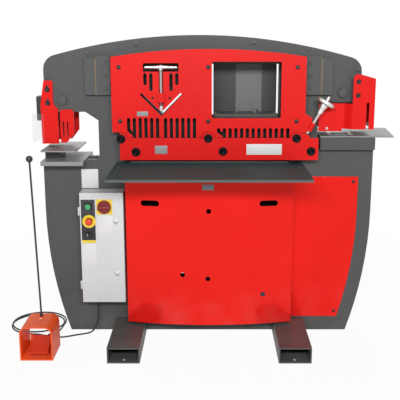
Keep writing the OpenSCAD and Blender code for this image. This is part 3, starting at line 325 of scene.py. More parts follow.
# edge=0.6 on the frame, the front plate and the feed table makes their lighter edges partly a painted
# highlight.
frame_paint = enamel("frame_paint", FRAME_GREY, 0.46, 0.0, 0.00035, edge=0.6, grain=0.25, shine=0.2)
table_shade_paint = enamel("table_shade_paint", TABLE_TOP_SHADE, 0.6, 0.0, 0.00025, edge=0.6, grain=0.2, shine=0.1,
                     patch=LIP_PATCH)
plate_shade_paint = enamel("plate_shade_paint", FRAME_GREY, 0.46, 0.0, 0.00035, edge=0.6, grain=0.25, shine=0.2,
                     patch=PLATE_SHADE_PATCH)
bay_paint = enamel("bay_paint", BAY_GREY, 0.42, 0.08, 0.00035, grain=0.25, patch=BAY_BAND_PATCH)
bed_lit_paint = enamel("bed_lit_paint", BED_LIT_GREY, 0.42, 0.08, 0.00035, grain=0.25)
guard_paint = enamel("guard_paint", GUARD_RED, 0.40, 0.0, 0.00022, edge=0.15, shine=0.15)
cover_paint = enamel("cover_paint", COVER_RED, 0.10, 0.0, 0.00004, edge=0.15, shine=0.9, IOR=1.9,
                     Specular_Tint=GLOSS_RED)
box_paint = enamel("box_paint", (0.66, 0.68, 0.68), 0.45, 0.05, 0.0003, 420.0, edge=0.1)
motor_paint = enamel("motor_paint", (0.10, 0.12, 0.14), 0.4, 0.2, 0.0003)
# Painted light: the pedal guard's orange is raised to full brightness for the light from above; the treadle
# keeps a darker orange.
pedal_lit_paint = enamel("pedal_lit_paint", (1.0, 0.120, 0.022), 0.42, 0.0, 0.0004, 180.0, dust=0.0, shine=0.15)
treadle_paint = enamel("treadle_paint", (0.66, 0.052, 0.016), 0.42, 0.0, 0.0004, 180.0, dust=0.0, shine=0.15)
plate_white = enamel("plate_white", (0.74, 0.74, 0.74), 0.4, 0.1, 0.0001, dust=0.0, edge=0.1)
plate_grey = enamel("plate_grey", (0.30, 0.30, 0.31), 0.4, 0.1, 0.0001, dust=0.0, edge=0.1)
print("painted finishes ready")

# %% [markdown]
# ## Bare and plated metal
# Ground steel is a mirror drawn out in one direction: long fine scratches change its roughness and bump
# across the grain and hardly along it. Blackened bolts are darker and duller. Bronze is warmer and cloudy.


# %% Ground, turned and blackened metal
def ground_metal(name, colour, roughness, stretch, scratch=0.00006, stain=0.12):
    """Bare metal. stretch draws its scratches out along an axis, and scratch is their depth in metres."""
    material, shader, place = finish_of(name, Metallic=1.0)
    lines = place.noise(240.0, 6.0, stretch)
    cloud = place.noise(7.0, 5.0)
    body = cloud.over(0.35, 0.7).blend(tone(colour, 1.0), tone(colour, 1 - stain))
    body = lines.over(0.3, 0.75).blend(body, tone(colour, 0.86))
    plug(shader, Base_Color=body, Roughness=roughness + (lines - 0.5) * 0.22 + (cloud - 0.5) * 0.12,
         Normal=bumped(lines, scratch))
    return material


ALONG_X = (0.03, 1, 1)
ALONG_Z = (1, 1, 0.03)
EVEN = (1, 1, 1)
ground_steel = ground_metal("ground_steel", (0.52, 0.53, 0.53), 0.34, ALONG_X)
worn_steel = ground_metal("worn_steel", (0.27, 0.28, 0.28), 0.55, ALONG_X, stain=0.25)
# Painted shade: the shear blades are painted dark, for the shadowed gap under the hold-down bar.
blade_shade_steel = ground_metal("blade_shade_steel", (0.10, 0.10, 0.105), 0.45, ALONG_X, stain=0.25)
turned_steel = ground_metal("turned_steel", (0.74, 0.74, 0.73), 0.22, EVEN, 0.00003)
cast_metal = ground_metal("cast_metal", (0.80, 0.80, 0.78), 0.44, EVEN, 0.00012, 0.2)
# Painted shade: the beam is painted near black, for the unlit inside of the machine where it shows through
# the tool window.
beam_steel = ground_metal("beam_steel", (0.05, 0.051, 0.053), 0.45, ALONG_Z, 0.0001, 0.25)
black_oxide = ground_metal("black_oxide", (0.055, 0.056, 0.06), 0.42, EVEN, 0.00008, 0.3)
black_bolt = ground_metal("black_bolt", (0.016, 0.016, 0.018), 0.30, EVEN, 0.00008, 0.3)
bronze = ground_metal("bronze", (0.17, 0.12, 0.07), 0.42, ALONG_Z, 0.00008, 0.25)
zinc_plate = ground_metal("zinc_plate", (0.55, 0.56, 0.55), 0.36, EVEN, 0.00004, 0.2)
print("metal finishes ready")

# %% [markdown]
# ## Plastic, rubber and clear sheet
# Moulded plastic has a faint grain and a soft shine that varies where hands have polished it. Rubber is
# duller and picks up dust. The clear sheet is thin, so it lets light straight through and only its gloss,
# its smears and its rim show: a low Alpha does that without bending the view.


# %% Moulded plastic, rubber and clear sheet
LINT = (0.3, 0.3, 0.3, 1)
SHEET_RIM = 0.002
SMEAR_TONES = ((0.52, 0.57, 0.58, 1), (0.62, 0.66, 0.67, 1))


def moulded(name, colour, roughness, grain=0.00012, scale=380.0):
    """Plastic or rubber with a pebbled skin; grain is the pebbles' height in metres."""
    material, shader, place = finish_of(name, Specular_IOR_Level=0.5)
    pebble = place.noise(scale, 2.0)
    cloud = place.noise(14.0, 5.0)
    body = cloud.over(0.35, 0.7).blend(tone(colour, 0.92), tone(colour, 1.1))
    body = (place.noise(30.0, 6.0).over(0.58, 0.8) * 0.10).blend(body, LINT)
    plug(shader, Base_Color=body, Roughness=roughness + (cloud - 0.5) * 0.2, Normal=bumped(pebble, grain))
    return material


def clear_sheet(name):
    """A thin clear sheet, faint on its faces and denser at its rim."""
    material, shader, place = finish_of(name, Roughness=0.08, IOR=1.5)
    smear = place.noise(18.0, 5.0)
    body = smear.over(0.3, 0.7).blend(*SMEAR_TONES)
    rim = edge_mask(place, SHEET_RIM)
    plug(shader, Base_Color=body, Alpha=0.04 + smear * 0.05 + rim * 0.4)
    return material


black_plastic = moulded("black_plastic", (0.022, 0.022, 0.024), 0.42)
panel_black = moulded("panel_black", (0.016, 0.015, 0.018), 0.5, 0.00005)
yellow_plastic = moulded("yellow_plastic", (0.86, 0.62, 0.03), 0.4)
white_plastic = moulded("white_plastic", (0.70, 0.70, 0.69), 0.4)
green_plastic = moulded("green_plastic", (0.05, 0.42, 0.14), 0.3)
stop_red = moulded("stop_red", (0.78, 0.045, 0.02), 0.3)
knob_red = moulded("knob_red", (0.22, 0.010, 0.010), 0.34)
rubber = moulded("rubber", (0.016, 0.016, 0.017), 0.55, 0.0002, 700.0)
clear_plastic = clear_sheet("clear_plastic")
pedal_lead.data.materials.append(rubber)
print("plastic finishes ready")

# %% [markdown]
# ## Studio
# The backdrop is white, so the floor and the world glow white towards the camera and in reflections, while
# the light on the machine itself stays at a plain level. The floor keeps part of the machine's shadow. A wide
# low soft box in front draws the long highlights, and a lamp behind lights the arch's top edge.

# %% Floor, world and lamps
SHADOW_SHARE = 0.05
SHADOW_REACH = (1.2, 2.6)
AMBIENT = 0.22
FLOOR_SIZE = 120
WHITE = (1, 1, 1, 1)
PALE = (0.9, 0.9, 0.9, 1)


def seen_rays(wire):
    """1 on rays from the camera, in reflections and through clear sheets, 0 on the rest."""
    path = wire.node("ShaderNodeLightPath", out="Is Camera Ray")
    sockets = path.socket.node.outputs
    others = Wire(wire.tree, sockets["Is Glossy Ray"]) + Wire(wire.tree, sockets["Is Transmission Ray"])
    return (path + others).over(0, 1)


def studio_floor():
    """A wide pale floor that shows white, with part of the machine's shadow."""
    bpy.ops.object.select_all(action="DESELECT")
    bpy.ops.mesh.primitive_plane_add(size=FLOOR_SIZE, location=(0, 0, 0))
    floor = bpy.context.object
    floor.name = "studio_floor"
    material = bpy.data.materials.new("studio_floor")
    material.use_nodes = True
    tree = material.node_tree
    wire = Wire(tree)
    tree.nodes.remove(tree.nodes["Principled BSDF"])
    matt = wire.node("ShaderNodeBsdfDiffuse", {}, {"Color": PALE})
    glow = wire.node("ShaderNodeEmission", {}, {"Color": WHITE, "Strength": 1.0})
    place = wire.node("ShaderNodeTexCoord", out="Object")
    away = place.node("ShaderNodeVectorMath", {"operation": "LENGTH"}, {0: place}, "Value")
    shadow = (1 - away.over(*SHADOW_REACH)) * SHADOW_SHARE
    both = wire.node("ShaderNodeMixShader", {}, {0: seen_rays(wire) * (1 - shadow), 1: matt, 2: glow})
    tree.links.new(both.socket, tree.nodes["Material Output"].inputs["Surface"])
    floor.data.materials.append(material)


def studio_world():
    """White to the camera and in reflections, and a plain level of light on the machine."""
    world = bpy.data.worlds.new("studio_world")
    world.use_nodes = True
    bpy.context.scene.world = world
    tree = world.node_tree
    wire = Wire(tree)
    light = wire.node("ShaderNodeBackground", {}, {"Color": WHITE, "Strength": AMBIENT})
    white = wire.node("ShaderNodeBackground", {}, {"Color": WHITE, "Strength": 1.0})
    both = wire.node("ShaderNodeMixShader", {}, {0: seen_rays(wire), 1: light, 2: white})
    tree.links.new(both.socket, tree.nodes["World Output"].inputs["Surface"])


def lamp(name, at, aim, width, height, power):
    """A soft box that is turned to the point it lights."""
    turn = (Vector(aim) - Vector(at)).to_track_quat("-Z", "Y").to_euler()
    bpy.ops.object.light_add(type="AREA", location=at, rotation=turn)
    light = bpy.context.object
    light.name = name
    light.data.shape = "RECTANGLE"
    light.data.size = width
    light.data.size_y = height
    light.data.energy = power


studio_floor()
studio_world()
lamp("front_box", (0, -4.5, 2.55), (0, 0, 0.75), 3.0, 0.6, 175)
lamp("back_lamp", (0, 3.2, 3.6), (0, 0, 0.8), 2.6, 2.6, 70)
print("studio ready")

# %% [markdown]
# ## Small modelling tools
# An operator works on whatever is selected, so every step starts by selecting one object alone. A finished
# piece keeps its object at the origin, with its place in its mesh, as the CAD nodes do.


# %% Select, modify, settle, and simple forms
TURNED_ANGLE = math.radians(32)
SHARP_ANGLE = math.radians(30)
LEAN_TO = {"X": (0, math.pi / 2, 0), "Y": (-math.pi / 2, 0, 0), "Z": (0, 0, 0)}


def take(piece):
    """Select one object alone and make it active."""
    bpy.ops.object.select_all(action="DESELECT")
    bpy.context.view_layer.objects.active = piece
    piece.select_set(True)
    return piece


def modify(piece, kind, **settings):
    """Add a modifier and apply it."""
    take(piece)
    modifier = piece.modifiers.new(kind.lower(), kind)
    for name, value in settings.items():
        setattr(modifier, name, value)
    bpy.ops.object.modifier_apply(modifier=modifier.name)
    return piece


def settle(piece, name, material, body, slot, *stands_for):
    """Apply the object's place, name it, paint it and let it ride on its body."""
    take(piece)
    bpy.ops.object.transform_apply(location=True, rotation=True, scale=True)
    piece.name = name
    piece.data.name = name
    piece.data.materials.clear()
    piece.data.materials.append(material)
    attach(piece, body)
    if stands_for:
        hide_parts(*stands_for)
    return piece


def turned(stations, axis="Y", at=(0, 0), sides=40):
    """A round piece along an axis: a disc, extruded and resized at each (place, radius), in millimetres."""
    place, radius = stations[0]
    bpy.ops.object.select_all(action="DESELECT")
    bpy.ops.mesh.primitive_circle_add(vertices=sides, radius=radius * MM, fill_type="NGON",
                                      location=(0, 0, place * MM))
    piece = bpy.context.object
    bpy.ops.object.mode_set(mode="EDIT")
    bpy.ops.mesh.select_all(action="SELECT")
    for next_place, next_radius in stations[1:]:
        rise = (0, 0, (next_place - place) * MM)
        share = next_radius / radius
        bpy.ops.mesh.extrude_region_move(TRANSFORM_OT_translate={"value": rise})
        bpy.ops.transform.resize(value=(share, share, 1), center_override=(0, 0, next_place * MM))
        place, radius = next_place, next_radius
    bpy.ops.mesh.select_all(action="SELECT")
    bpy.ops.mesh.normals_make_consistent(inside=False)
    bpy.ops.object.mode_set(mode="OBJECT")
    bpy.ops.object.transform_apply(location=True, rotation=True, scale=True)
    piece.rotation_euler = LEAN_TO[axis]
    piece.location = Vector({"X": (0, *at), "Y": (at[0], 0, at[1]), "Z": (*at, 0)}[axis]) * MM
    bpy.ops.object.transform_apply(location=True, rotation=True, scale=True)
    bpy.ops.object.shade_smooth_by_angle(angle=TURNED_ANGLE)
    return piece


def rod(radius, low, high, axis="Y", at=(0, 0), sides=40):
    """A round bar along an axis, in millimetres; at gives the other two coordinates, in X, Y, Z order."""
    return turned([(low, radius), (high, radius)], axis, at, sides)


def slab(low, high):
    """A box between two corners, in millimetres."""
    low, high = Vector(low) * MM, Vector(high) * MM
    bpy.ops.object.select_all(action="DESELECT")
    bpy.ops.mesh.primitive_cube_add(size=1, location=(low + high) / 2)
    piece = bpy.context.object
    piece.scale = high - low
    bpy.ops.object.transform_apply(location=True, rotation=True, scale=True)
    return piece


def plate(corners, front, back):
    """An upright plate: its two X, Z corners and the Y of its front and back, in millimetres."""
    (left, bottom), (right, top) = corners
    return slab((left, front, bottom), (right, back, top))


def cut(piece, tool):
    """Take a tool's shape out of a piece, and delete the tool."""
    modify(piece, "BOOLEAN", operation="DIFFERENCE", object=tool, solver="EXACT")
    bpy.data.objects.remove(tool)
    return piece


def rounded(piece, width, segments=3):
    """Round the sharp edges and smooth the shading across them."""
    modify(piece, "BEVEL", width=width, segments=segments, limit_method="ANGLE", angle_limit=SHARP_ANGLE)
    take(piece)
    bpy.ops.object.shade_smooth_by_angle(angle=SHARP_ANGLE)
    return piece


def joined(pieces):
    """Several meshes as one object."""
    bpy.ops.object.select_all(action="DESELECT")
    for piece in pieces:
        piece.select_set(True)
    bpy.context.view_layer.objects.active = pieces[0]
    bpy.ops.object.join()
    return pieces[0]


def copies(model, places):
    """The model copied to each place in millimetres, as one object. The model is used up."""
    made = []
    for place in places:
        twin = model.copy()
        twin.data = model.data.copy()
        twin.location = Vector(place) * MM
        bpy.context.scene.collection.objects.link(twin)
        made.append(twin)
    bpy.data.objects.remove(model)
    whole = joined(made)
    bpy.ops.object.transform_apply(location=True, rotation=True, scale=True)
    return whole


print("modelling tools ready")

# %% [markdown]
# ## Edges that catch the light
# CAD solids have edges of no width, and nothing real does: flame-cut plate is dressed, sheet is folded,
# castings are rounded. Each main solid is copied, its loose triangles are merged and flat ones joined, and
# a Bevel modifier rounds what is sharp. Weighted normals keep the large faces flat. Two copies are trimmed
# first: the foot switch's guard is open at the back above a low sill, and the table's lip is a narrow fold.


# %% Copy a CAD node and round its edges
SAME_POINT = 0.02 * MM
SAME_PLANE = math.radians(0.5)
SOFT_ANGLE = math.radians(28)
SHEET_EDGE = 0.8 * MM
FOLD_EDGE = 1.2 * MM
TABLE_EDGE = 1.5 * MM
PLATE_EDGE = 1.6 * MM
BLOCK_EDGE = 2.0 * MM
HOOD_EDGE = 2.4 * MM
FLAME_EDGE = 3.0 * MM
TUBE_EDGE = 4.0 * MM
# Boxes to cut away, as two corners in millimetres
trims = {"pedal_guard": ((-876, -250.5, 28), (-736, -243, 100)),
         "feed_table": ((-455, -505, 850), (455, -496.9, 864))}


def cad_copy(node):
    """A free copy of a CAD node's mesh, merged into whole faces."""
    take(nodes[node])
    bpy.ops.object.duplicate()
    piece = bpy.context.object
    for key in list(piece.keys()):
        if key.startswith("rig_"):
            del piece[key]
    piece.parent = None
    bpy.ops.object.mode_set(mode="EDIT")
    bpy.ops.mesh.select_all(action="SELECT")
    bpy.ops.mesh.remove_doubles(threshold=SAME_POINT)
    bpy.ops.mesh.dissolve_limited(angle_limit=SAME_PLANE)
    bpy.ops.object.mode_set(mode="OBJECT")
    return piece


def soften(node, width, material):
    """Replace a CAD node by a copy with its trim cut away and rounded edges."""
    piece = cad_copy(node)
    if node in trims:
        cut(piece, slab(*trims[node]))
    modify(piece, "BEVEL", width=width, segments=2, limit_method="ANGLE", angle_limit=SOFT_ANGLE,
           use_clamp_overlap=True, miter_outer="MITER_ARC")
    take(piece)
    bpy.ops.object.shade_smooth_by_angle(angle=SOFT_ANGLE)
    modify(piece, "WEIGHTED_NORMAL", keep_sharp=True)
    body = nodes[node]["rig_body"]
    slot = next(p["material_slot"] for p in frame["record"]["subparts"] if p["node"] == node)
    return settle(piece, node + "_dressed", material, body, slot, node)


softened = {
    # The front plate carries the painted shade behind the guard.
    plate_shade_paint: {"front_plate": FLAME_EDGE},
    frame_paint: {"rear_plate": FLAME_EDGE, "plate_spacers": PLATE_EDGE, "feet": TUBE_EDGE,
                  "notcher_bolster": BLOCK_EDGE, "rear_cover": SHEET_EDGE, "gib_blocks": SHEET_EDGE},
    bed_lit_paint: {"punch_table": BLOCK_EDGE},
    bay_paint: {"tool_back_plate": SHEET_EDGE},
    table_shade_paint: {"feed_table": TABLE_EDGE},
    guard_paint: {"front_guard": FOLD_EDGE, "holddown_bar": FOLD_EDGE, "punch_guard": PLATE_EDGE,
                  "punch_flaps": PLATE_EDGE, "notcher_guard": SHEET_EDGE},
    cover_paint: {"front_cover": SHEET_EDGE, "side_panel": SHEET_EDGE},
    box_paint: {"control_box": SHEET_EDGE, "box_door": FOLD_EDGE},
    pedal_lit_paint: {"pedal_guard": HOOD_EDGE},
    treadle_paint: {"treadle": TABLE_EDGE},
    black_oxide: {"die_holder": PLATE_EDGE},
    worn_steel: {"die_plate": SHEET_EDGE, "notcher_plate": SHEET_EDGE},
    blade_shade_steel: {"lower_shear_blade": SHEET_EDGE, "upper_shear_blade": SHEET_EDGE},
}
for material, sizes in softened.items():
    for node, width in sizes.items():
        soften(node, width, material)
print("rounded", sum(len(sizes) for sizes in softened.values()), "nodes")

# %% [markdown]
# ## Solids inside the machine
# The beam, the wear strips, the cylinder and the pump are hardly seen, so they keep their CAD shapes. Each
# gets the finish of its material slot, and so does every node that a dressed copy hides.

# %% Finish the solids that keep their CAD shape
kept = {
    "frame_paint": frame_paint, "guard_red": guard_paint, "bright_steel": ground_steel,
    "black_oxide": black_oxide, "bronze": bronze, "beam_steel": beam_steel, "clear_sheet": clear_plastic,
    "box_grey": box_paint, "black_plastic": black_plastic, "yellow_plate": yellow_plastic,
    "green_plastic": green_plastic, "red_plastic": stop_red, "pedal_orange": pedal_lit_paint,
    "motor_paint": motor_paint, "cord_rubber": rubber,
}
for part in frame["record"]["subparts"]:
    mesh = nodes[part["node"]].data
    mesh.materials.clear()
    mesh.materials.append(kept[part["material_slot"]])
print("every node has a finish")

# %% [markdown]
# ## Fasteners
# Three kinds of head hold this machine together: low button heads on the red guard, deep socket heads with
# washers on the hold-down bar, and hex heads with washers on the frame. Each kind is turned along Y, facing
# the front or the back, gets its key cut by a Boolean where it has one, and is copied to its places.

# %% Planes and places, in millimetres, and the three kinds of head
X, Y, Z = range(3)
LOW, HIGH = range(2)


def face(node, side, axis):
    """One face of a CAD node's box, in millimetres."""
    return round(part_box(node)[side][axis] / MM, 1)


def middle_of(node, *axes):
    """The middle of a CAD node's box along some axes, in whole millimetres."""
    return tuple(round((face(node, LOW, axis) + face(node, HIGH, axis)) / 2) for axis in axes)


FRONT_Y = face("front_plate", LOW, Y)
REAR_Y = face("rear_plate", HIGH, Y)
GUARD_Y = face("holddown_bar", LOW, Y)
DOOR_Y = face("switch_plates", HIGH, Y)
SWITCH_PLATE = 2
PLATE_Y = DOOR_Y - SWITCH_PLATE
BAR_STEP = (70, -62)
ARCH_X = -50
ARCH_TOP = 1483
ARCH_R = 2600
guard_pins = [(x, GUARD_Y, z) for x in (-420, -5, 410) for z in (1087, 1338)]
boss_pins = [(-265, GUARD_Y, 1196), (-185, GUARD_Y, 1196)]
hood_pins = [(700, -130, 1206), (700, -130, 1270)]
stripper_pins = [(-772, -78, 1165), (-772, -78, 1229)]
panel_pins = [(705, -73, 782), (633, -73, 113)]
bar_pins = [(x + step * BAR_STEP[0], GUARD_Y - 0.3, z + step * BAR_STEP[1])
            for x, z in ((-418, 1003), (-5, 1006), (413, 1006)) for step in (0, 1)]
rear_pins = [(x, REAR_Y + 3, z) for x in (-395, 395) for z in (115, 420, 725)]
arch_bolts = [(x, math.sqrt((ARCH_R - depth) ** 2 - (x - ARCH_X) ** 2) + ARCH_TOP - ARCH_R)
              for x, depth in ((-770, 88), (-576, 28), (-345, 26), (210, 23), (465, 13), (706, 47))]
arm_bolts = [(-702, 1177), (635, 1213)]


def button_head(radius, height, way=-1):
    """A domed head with a hex key, standing out of Y = 0."""
    top = way * height
    piece = turned([(0, radius), (top * 0.3, radius), (top * 0.7, radius * 0.86), (top, radius * 0.6)])
    return cut(piece, rod(radius * 0.42, top * 0.45, top * 1.2, sides=6))


def socket_head(radius, height, washer_radius, washer):
    """A tall round head with a deep hex key, on a washer."""
    top = -washer - height
    ring = turned([(0, washer_radius), (-washer + 0.6, washer_radius), (-washer, washer_radius - 0.8)])
    piece = turned([(-washer, radius), (top + 1.2, radius), (top, radius - 1.4)])
    cut(piece, rod(radius * 0.52, top + height * 0.6, top - 1, sides=6))
    return joined([piece, ring])


def hex_head(width, way=-1):
    """A hex head whose corners are turned off, on a washer."""
    washer, height = width * 0.12, width * 0.55
    ring = turned([(0, width * 0.6), (way * washer * 0.7, width * 0.6), (way * washer, width * 0.57)])
    top = way * (washer + height * 0.75)
    piece = turned([(0, width / 2), (top, width / 2), (way * height, width * 0.42)], sides=6)
    return joined([piece, ring])


def both_sides(places, width):
    """Hex heads on the front and the back of the frame."""
    front = copies(hex_head(width), [(x, FRONT_Y, z) for x, z in places])
    back = copies(hex_head(width, 1), [(x, REAR_Y, z) for x, z in places])
    return [front, back]


screws = [copies(button_head(10, 5), guard_pins), copies(button_head(6, 4), boss_pins),
          copies(button_head(11, 6), hood_pins), copies(button_head(12, 7), stripper_pins)]
settle(joined(screws), "guard_button_screws", black_oxide, "frame", "black_oxide", "guard_screws")
settle(copies(button_head(8, 4), panel_pins), "panel_button_screws", black_oxide, "frame", "black_oxide")
settle(copies(socket_head(14, 12, 21, 3), bar_pins), "bar_socket_bolts", black_bolt, "frame", "black_oxide",
       "holddown_bolts")
hex_bolts = joined(both_sides(arch_bolts, 18) + both_sides(arm_bolts, 42))
settle(hex_bolts, "frame_hex_bolts", frame_paint, "frame", "frame_paint", "frame_bolts")
settle(copies(button_head(8, 4, 1), rear_pins), "rear_cover_screws", black_oxide, "frame", "black_oxide")
placed = guard_pins + boss_pins + hood_pins + stripper_pins + panel_pins + bar_pins + rear_pins
print("fasteners at", len(placed), "places")

# %% [markdown]
# ## Gib screws
# Each gib block is clamped by three screws, whose heads came with the CAD solid. A hex key is sunk into each
# by a Boolean, because a Boolean leaves the block's own rounded edges alone.

# %% Hex keys in the gib screws
GIB_X = (-487, 477)
GIB_Z = (1238, 1294, 1355)
GIB_KEY_R = 4.6
GIB_KEY_Y = (-109, -103)
gib_dressed = bpy.data.objects["gib_blocks_dressed"]
for x in GIB_X:
    for z in GIB_Z:
        cut(gib_dressed, rod(GIB_KEY_R, *GIB_KEY_Y, at=(x, z), sides=6))
print("gib screws have keys")

# %% [markdown]
# ## Threaded screws
# A thread is one V-shaped ridge wound round a bar. The ridge's profile is the edge that is left when half of
# a small grid is deleted; a Screw modifier winds it, and one face closes each end.


# %% Wind a thread
SCREW_R = 7.5
THREAD = 4
THREAD_STEPS = 20
THREAD_ANGLE = math.radians(25)


def threaded(radius, pitch, low, high, depth=1.0):
    """A screw thread up Z between two heights, in millimetres."""
    bpy.ops.object.select_all(action="DESELECT")
    bpy.ops.mesh.primitive_grid_add(x_subdivisions=1, y_subdivisions=2, size=pitch * MM)
    piece = bpy.context.object
    pick_points(piece, lambda point: point.x > 0)
    bpy.ops.mesh.delete(type="VERT")
    bpy.ops.mesh.select_all(action="SELECT")
    bpy.ops.transform.translate(value=((radius - depth + pitch / 2) * MM, 0, 0))
    pick_points(piece, lambda point: abs(point.y) < 0.1 * MM)
    bpy.ops.transform.translate(value=(depth * MM, 0, 0))
    bpy.ops.object.mode_set(mode="OBJECT")
    piece.rotation_euler = (math.pi / 2, 0, 0)
    bpy.ops.object.transform_apply(location=True, rotation=True, scale=True)
    modify(piece, "SCREW", axis="Z", steps=THREAD_STEPS, render_steps=THREAD_STEPS, screw_offset=pitch * MM,
           iterations=round((high - low) / pitch) - 1, use_merge_vertices=True)
    bpy.ops.object.mode_set(mode="EDIT")
    bpy.ops.mesh.select_all(action="SELECT")
    bpy.ops.mesh.remove_doubles(threshold=0.01 * MM)
    middle = (high - low) / 2 * MM
    for below in (True, False):
        bpy.ops.mesh.select_mode(type="EDGE")
        bpy.ops.mesh.select_non_manifold(extend=False)
        bpy.ops.object.mode_set(mode="OBJECT")
        points = piece.data.vertices
        for edge in piece.data.edges:
            edge.select = edge.select and (points[edge.vertices[0]].co.z < middle) == below
        bpy.ops.object.mode_set(mode="EDIT")
        bpy.ops.mesh.edge_face_add()
    bpy.ops.mesh.select_all(action="SELECT")
    bpy.ops.mesh.normals_make_consistent(inside=False)
    bpy.ops.object.mode_set(mode="OBJECT")
    piece.location = (0, 0, (low + pitch / 2) * MM)
    bpy.ops.object.transform_apply(location=True, rotation=True, scale=True)
    bpy.ops.object.shade_smooth_by_angle(angle=THREAD_ANGLE)
    return piece


def pick_points(piece, chosen):
    """Leave edit mode open with only the active piece's chosen points selected."""
    bpy.ops.object.mode_set(mode="EDIT")
    bpy.ops.mesh.select_mode(type="VERT")
    bpy.ops.mesh.select_all(action="DESELECT")
    bpy.ops.object.mode_set(mode="OBJECT")
    for point in piece.data.vertices:
        point.select = chosen(point.co)
    bpy.ops.object.mode_set(mode="EDIT")


print("thread", THREAD, "mm a turn")

# %% [markdown]
# ## Angle hold-down
# The T-handle is one turned bar, thick at its middle and rounded at its ends. Half of its outline is written
# down and mirrored. Its screw goes through the boss on the guard, and the pad at its foot presses the angle.

# %% T-handle, screw and pad
SLOT_X = middle_of("angle_pad", X)[0]
HANDLE_Z = 1337
STEM_Z = (1160, 1324)
half_handle = [(0, 10.5), (9, 10.4), (20, 9.5), (36, 7.8), (54, 6.6), (66, 6.3), (71, 6.7), (75, 5.7),
               (77.2, 3.4), (77.8, 1.2)]
handle = turned([(-x, r) for x, r in half_handle[:0:-1]] + half_handle, "X", (GUARD_Y, HANDLE_Z))
collar = turned([(1322, 8.6), (1324, 10), (1346, 10), (1348, 8.4)], "Z", (SLOT_X, GUARD_Y))
stem = threaded(SCREW_R, THREAD, *STEM_Z)
handle.location = Vector((SLOT_X, 0, 0)) * MM
stem.location = Vector((SLOT_X, GUARD_Y, 0)) * MM
settle(joined([handle, collar, stem]), "angle_t_screw", turned_steel, "angle_screw", "bright_steel",
       "angle_screw")
pad = turned([(1134, 5.5), (1136, 7.5), (1156, 9), (1160, 9)], "Z", (SLOT_X, GUARD_Y))
settle(pad, "angle_pad_tip", turned_steel, "angle_pad", "bright_steel", "angle_pad")
print("angle hold-down made")

# %% [markdown]
# ## Flat-bar hold-down
# This screw leans 30 degrees to the right and carries a small handwheel. It is made upright at the origin,
# then turned and moved to the tip of the bar, because a Screw modifier winds round Z.

# %% Slanted screw with its handwheel
SLANT = math.radians(30)
WHEEL_AT = 171
RIM_R = 7
RIM_DEPTH = 1.45
WHEEL_R = 45
SPOKES = 5
BAR_TIP = (460, GUARD_Y, 1026)
WHEEL_STEM = 116
parts = [threaded(SCREW_R, THREAD, 0, WHEEL_STEM)]
hub = [(112, 8), (113, 11.5), (140, 14), (152, 18.5), (172, 18.5), (178, 15), (178, 7.5)]
parts.append(turned(hub, "Z"))
parts.append(turned([(170, 6.8), (200, 6.8), (203, 4.8)], "Z"))
bpy.ops.object.select_all(action="DESELECT")
bpy.ops.mesh.primitive_torus_add(major_radius=(WHEEL_R - RIM_R) * MM, minor_radius=RIM_R * MM,
                                 major_segments=60, minor_segments=16, location=(0, 0, WHEEL_AT * MM))
rim = bpy.context.object
bpy.ops.object.mode_set(mode="EDIT")
bpy.ops.transform.resize(value=(1, 1, RIM_DEPTH), center_override=(0, 0, WHEEL_AT * MM))
bpy.ops.object.mode_set(mode="OBJECT")
bpy.ops.object.shade_smooth()
parts.append(rim)
for i in range(SPOKES):
    spoke = turned([(12, 4.6), (24, 3.6), (WHEEL_R - RIM_R, 4.4)], "X", (0, WHEEL_AT))
    spoke.rotation_euler = (0, 0, math.radians(360 / SPOKES * (i + 1)))
    parts.append(spoke)
wheel_screw = joined(parts)
bpy.ops.object.transform_apply(location=True, rotation=True, scale=True)
wheel_screw.rotation_euler = (0, SLANT, 0)
wheel_screw.location = Vector(BAR_TIP) * MM
settle(wheel_screw, "handwheel_screw", cast_metal, "holddown_screw", "bright_steel", "holddown_screw")
print("handwheel made")

# %% [markdown]
# ## Tool shelf
# Dies and punches are set down on this shelf between jobs. Its two bolts are bright and the shelf is painted,
# so they are made apart: a box with rounded edges, and a hex disc that is extruded and drawn in at its top.

# %% Shelf and its bolts
SHELF_T = 17
SHELF_BOLTS_X = (130, 227)
shelf_bottom = face("tool_shelf", LOW, Z)
shelf_top = shelf_bottom + SHELF_T
shelf_ends = [face("tool_shelf", side, X) for side in (LOW, HIGH)]
shelf = plate(list(zip(shelf_ends, (shelf_bottom, shelf_top))), FRONT_Y, REAR_Y)
settle(rounded(shelf, FOLD_EDGE), "tool_shelf_dressed", frame_paint, "frame", "frame_paint", "tool_shelf")
shelf_bolt = turned([(0, 12), (11.5, 12), (14, 10)], "Z", sides=6)
bolt_places = [(x, 0, shelf_top) for x in SHELF_BOLTS_X]
settle(copies(shelf_bolt, bolt_places), "shelf_bolts", zinc_plate, "frame", "bright_steel")
print("tool shelf made")

# %% [markdown]
# ## Switches on the door
# A black plate carries the start button, the stop button and the selector, and a yellow plate the isolator.
# Each knob rides on a body of its own, so it turns or travels, and the plates ride on the door.

# %% Plates, rings and bezels on the door
KNOB_STEM_R = 5
KNOB_HOLE_R = 5.3
START_HOLE_R = 14
KNOB_STEM_END = face("stop_button", HIGH, Y)
MOULDED_EDGE = 0.5 * MM
NOTE_EDGE = 0.3 * MM
start_at = middle_of("start_button", X, Z)
stop_at = middle_of("stop_button", X, Z)
selector_at = middle_of("selector_knob", X, Z)
isolator_at = middle_of("disconnect_knob", X, Z)
BUTTON_PLATE = ((-617, 512), (-550, 713))
BUTTON_STRIP = ((-617, 498), (-550, 511.5))
ISOLATOR_PLATE = ((-542, 640), (-467, 714))
NOTES = [((-538, 548), (-467, 632)), ((-616, 380), (-551, 492))]


def door_piece(piece, name, material, slot, *stands_for):
    """Settle a piece that rides on the door."""
    return settle(piece, name, material, "box_door", slot, *stands_for)


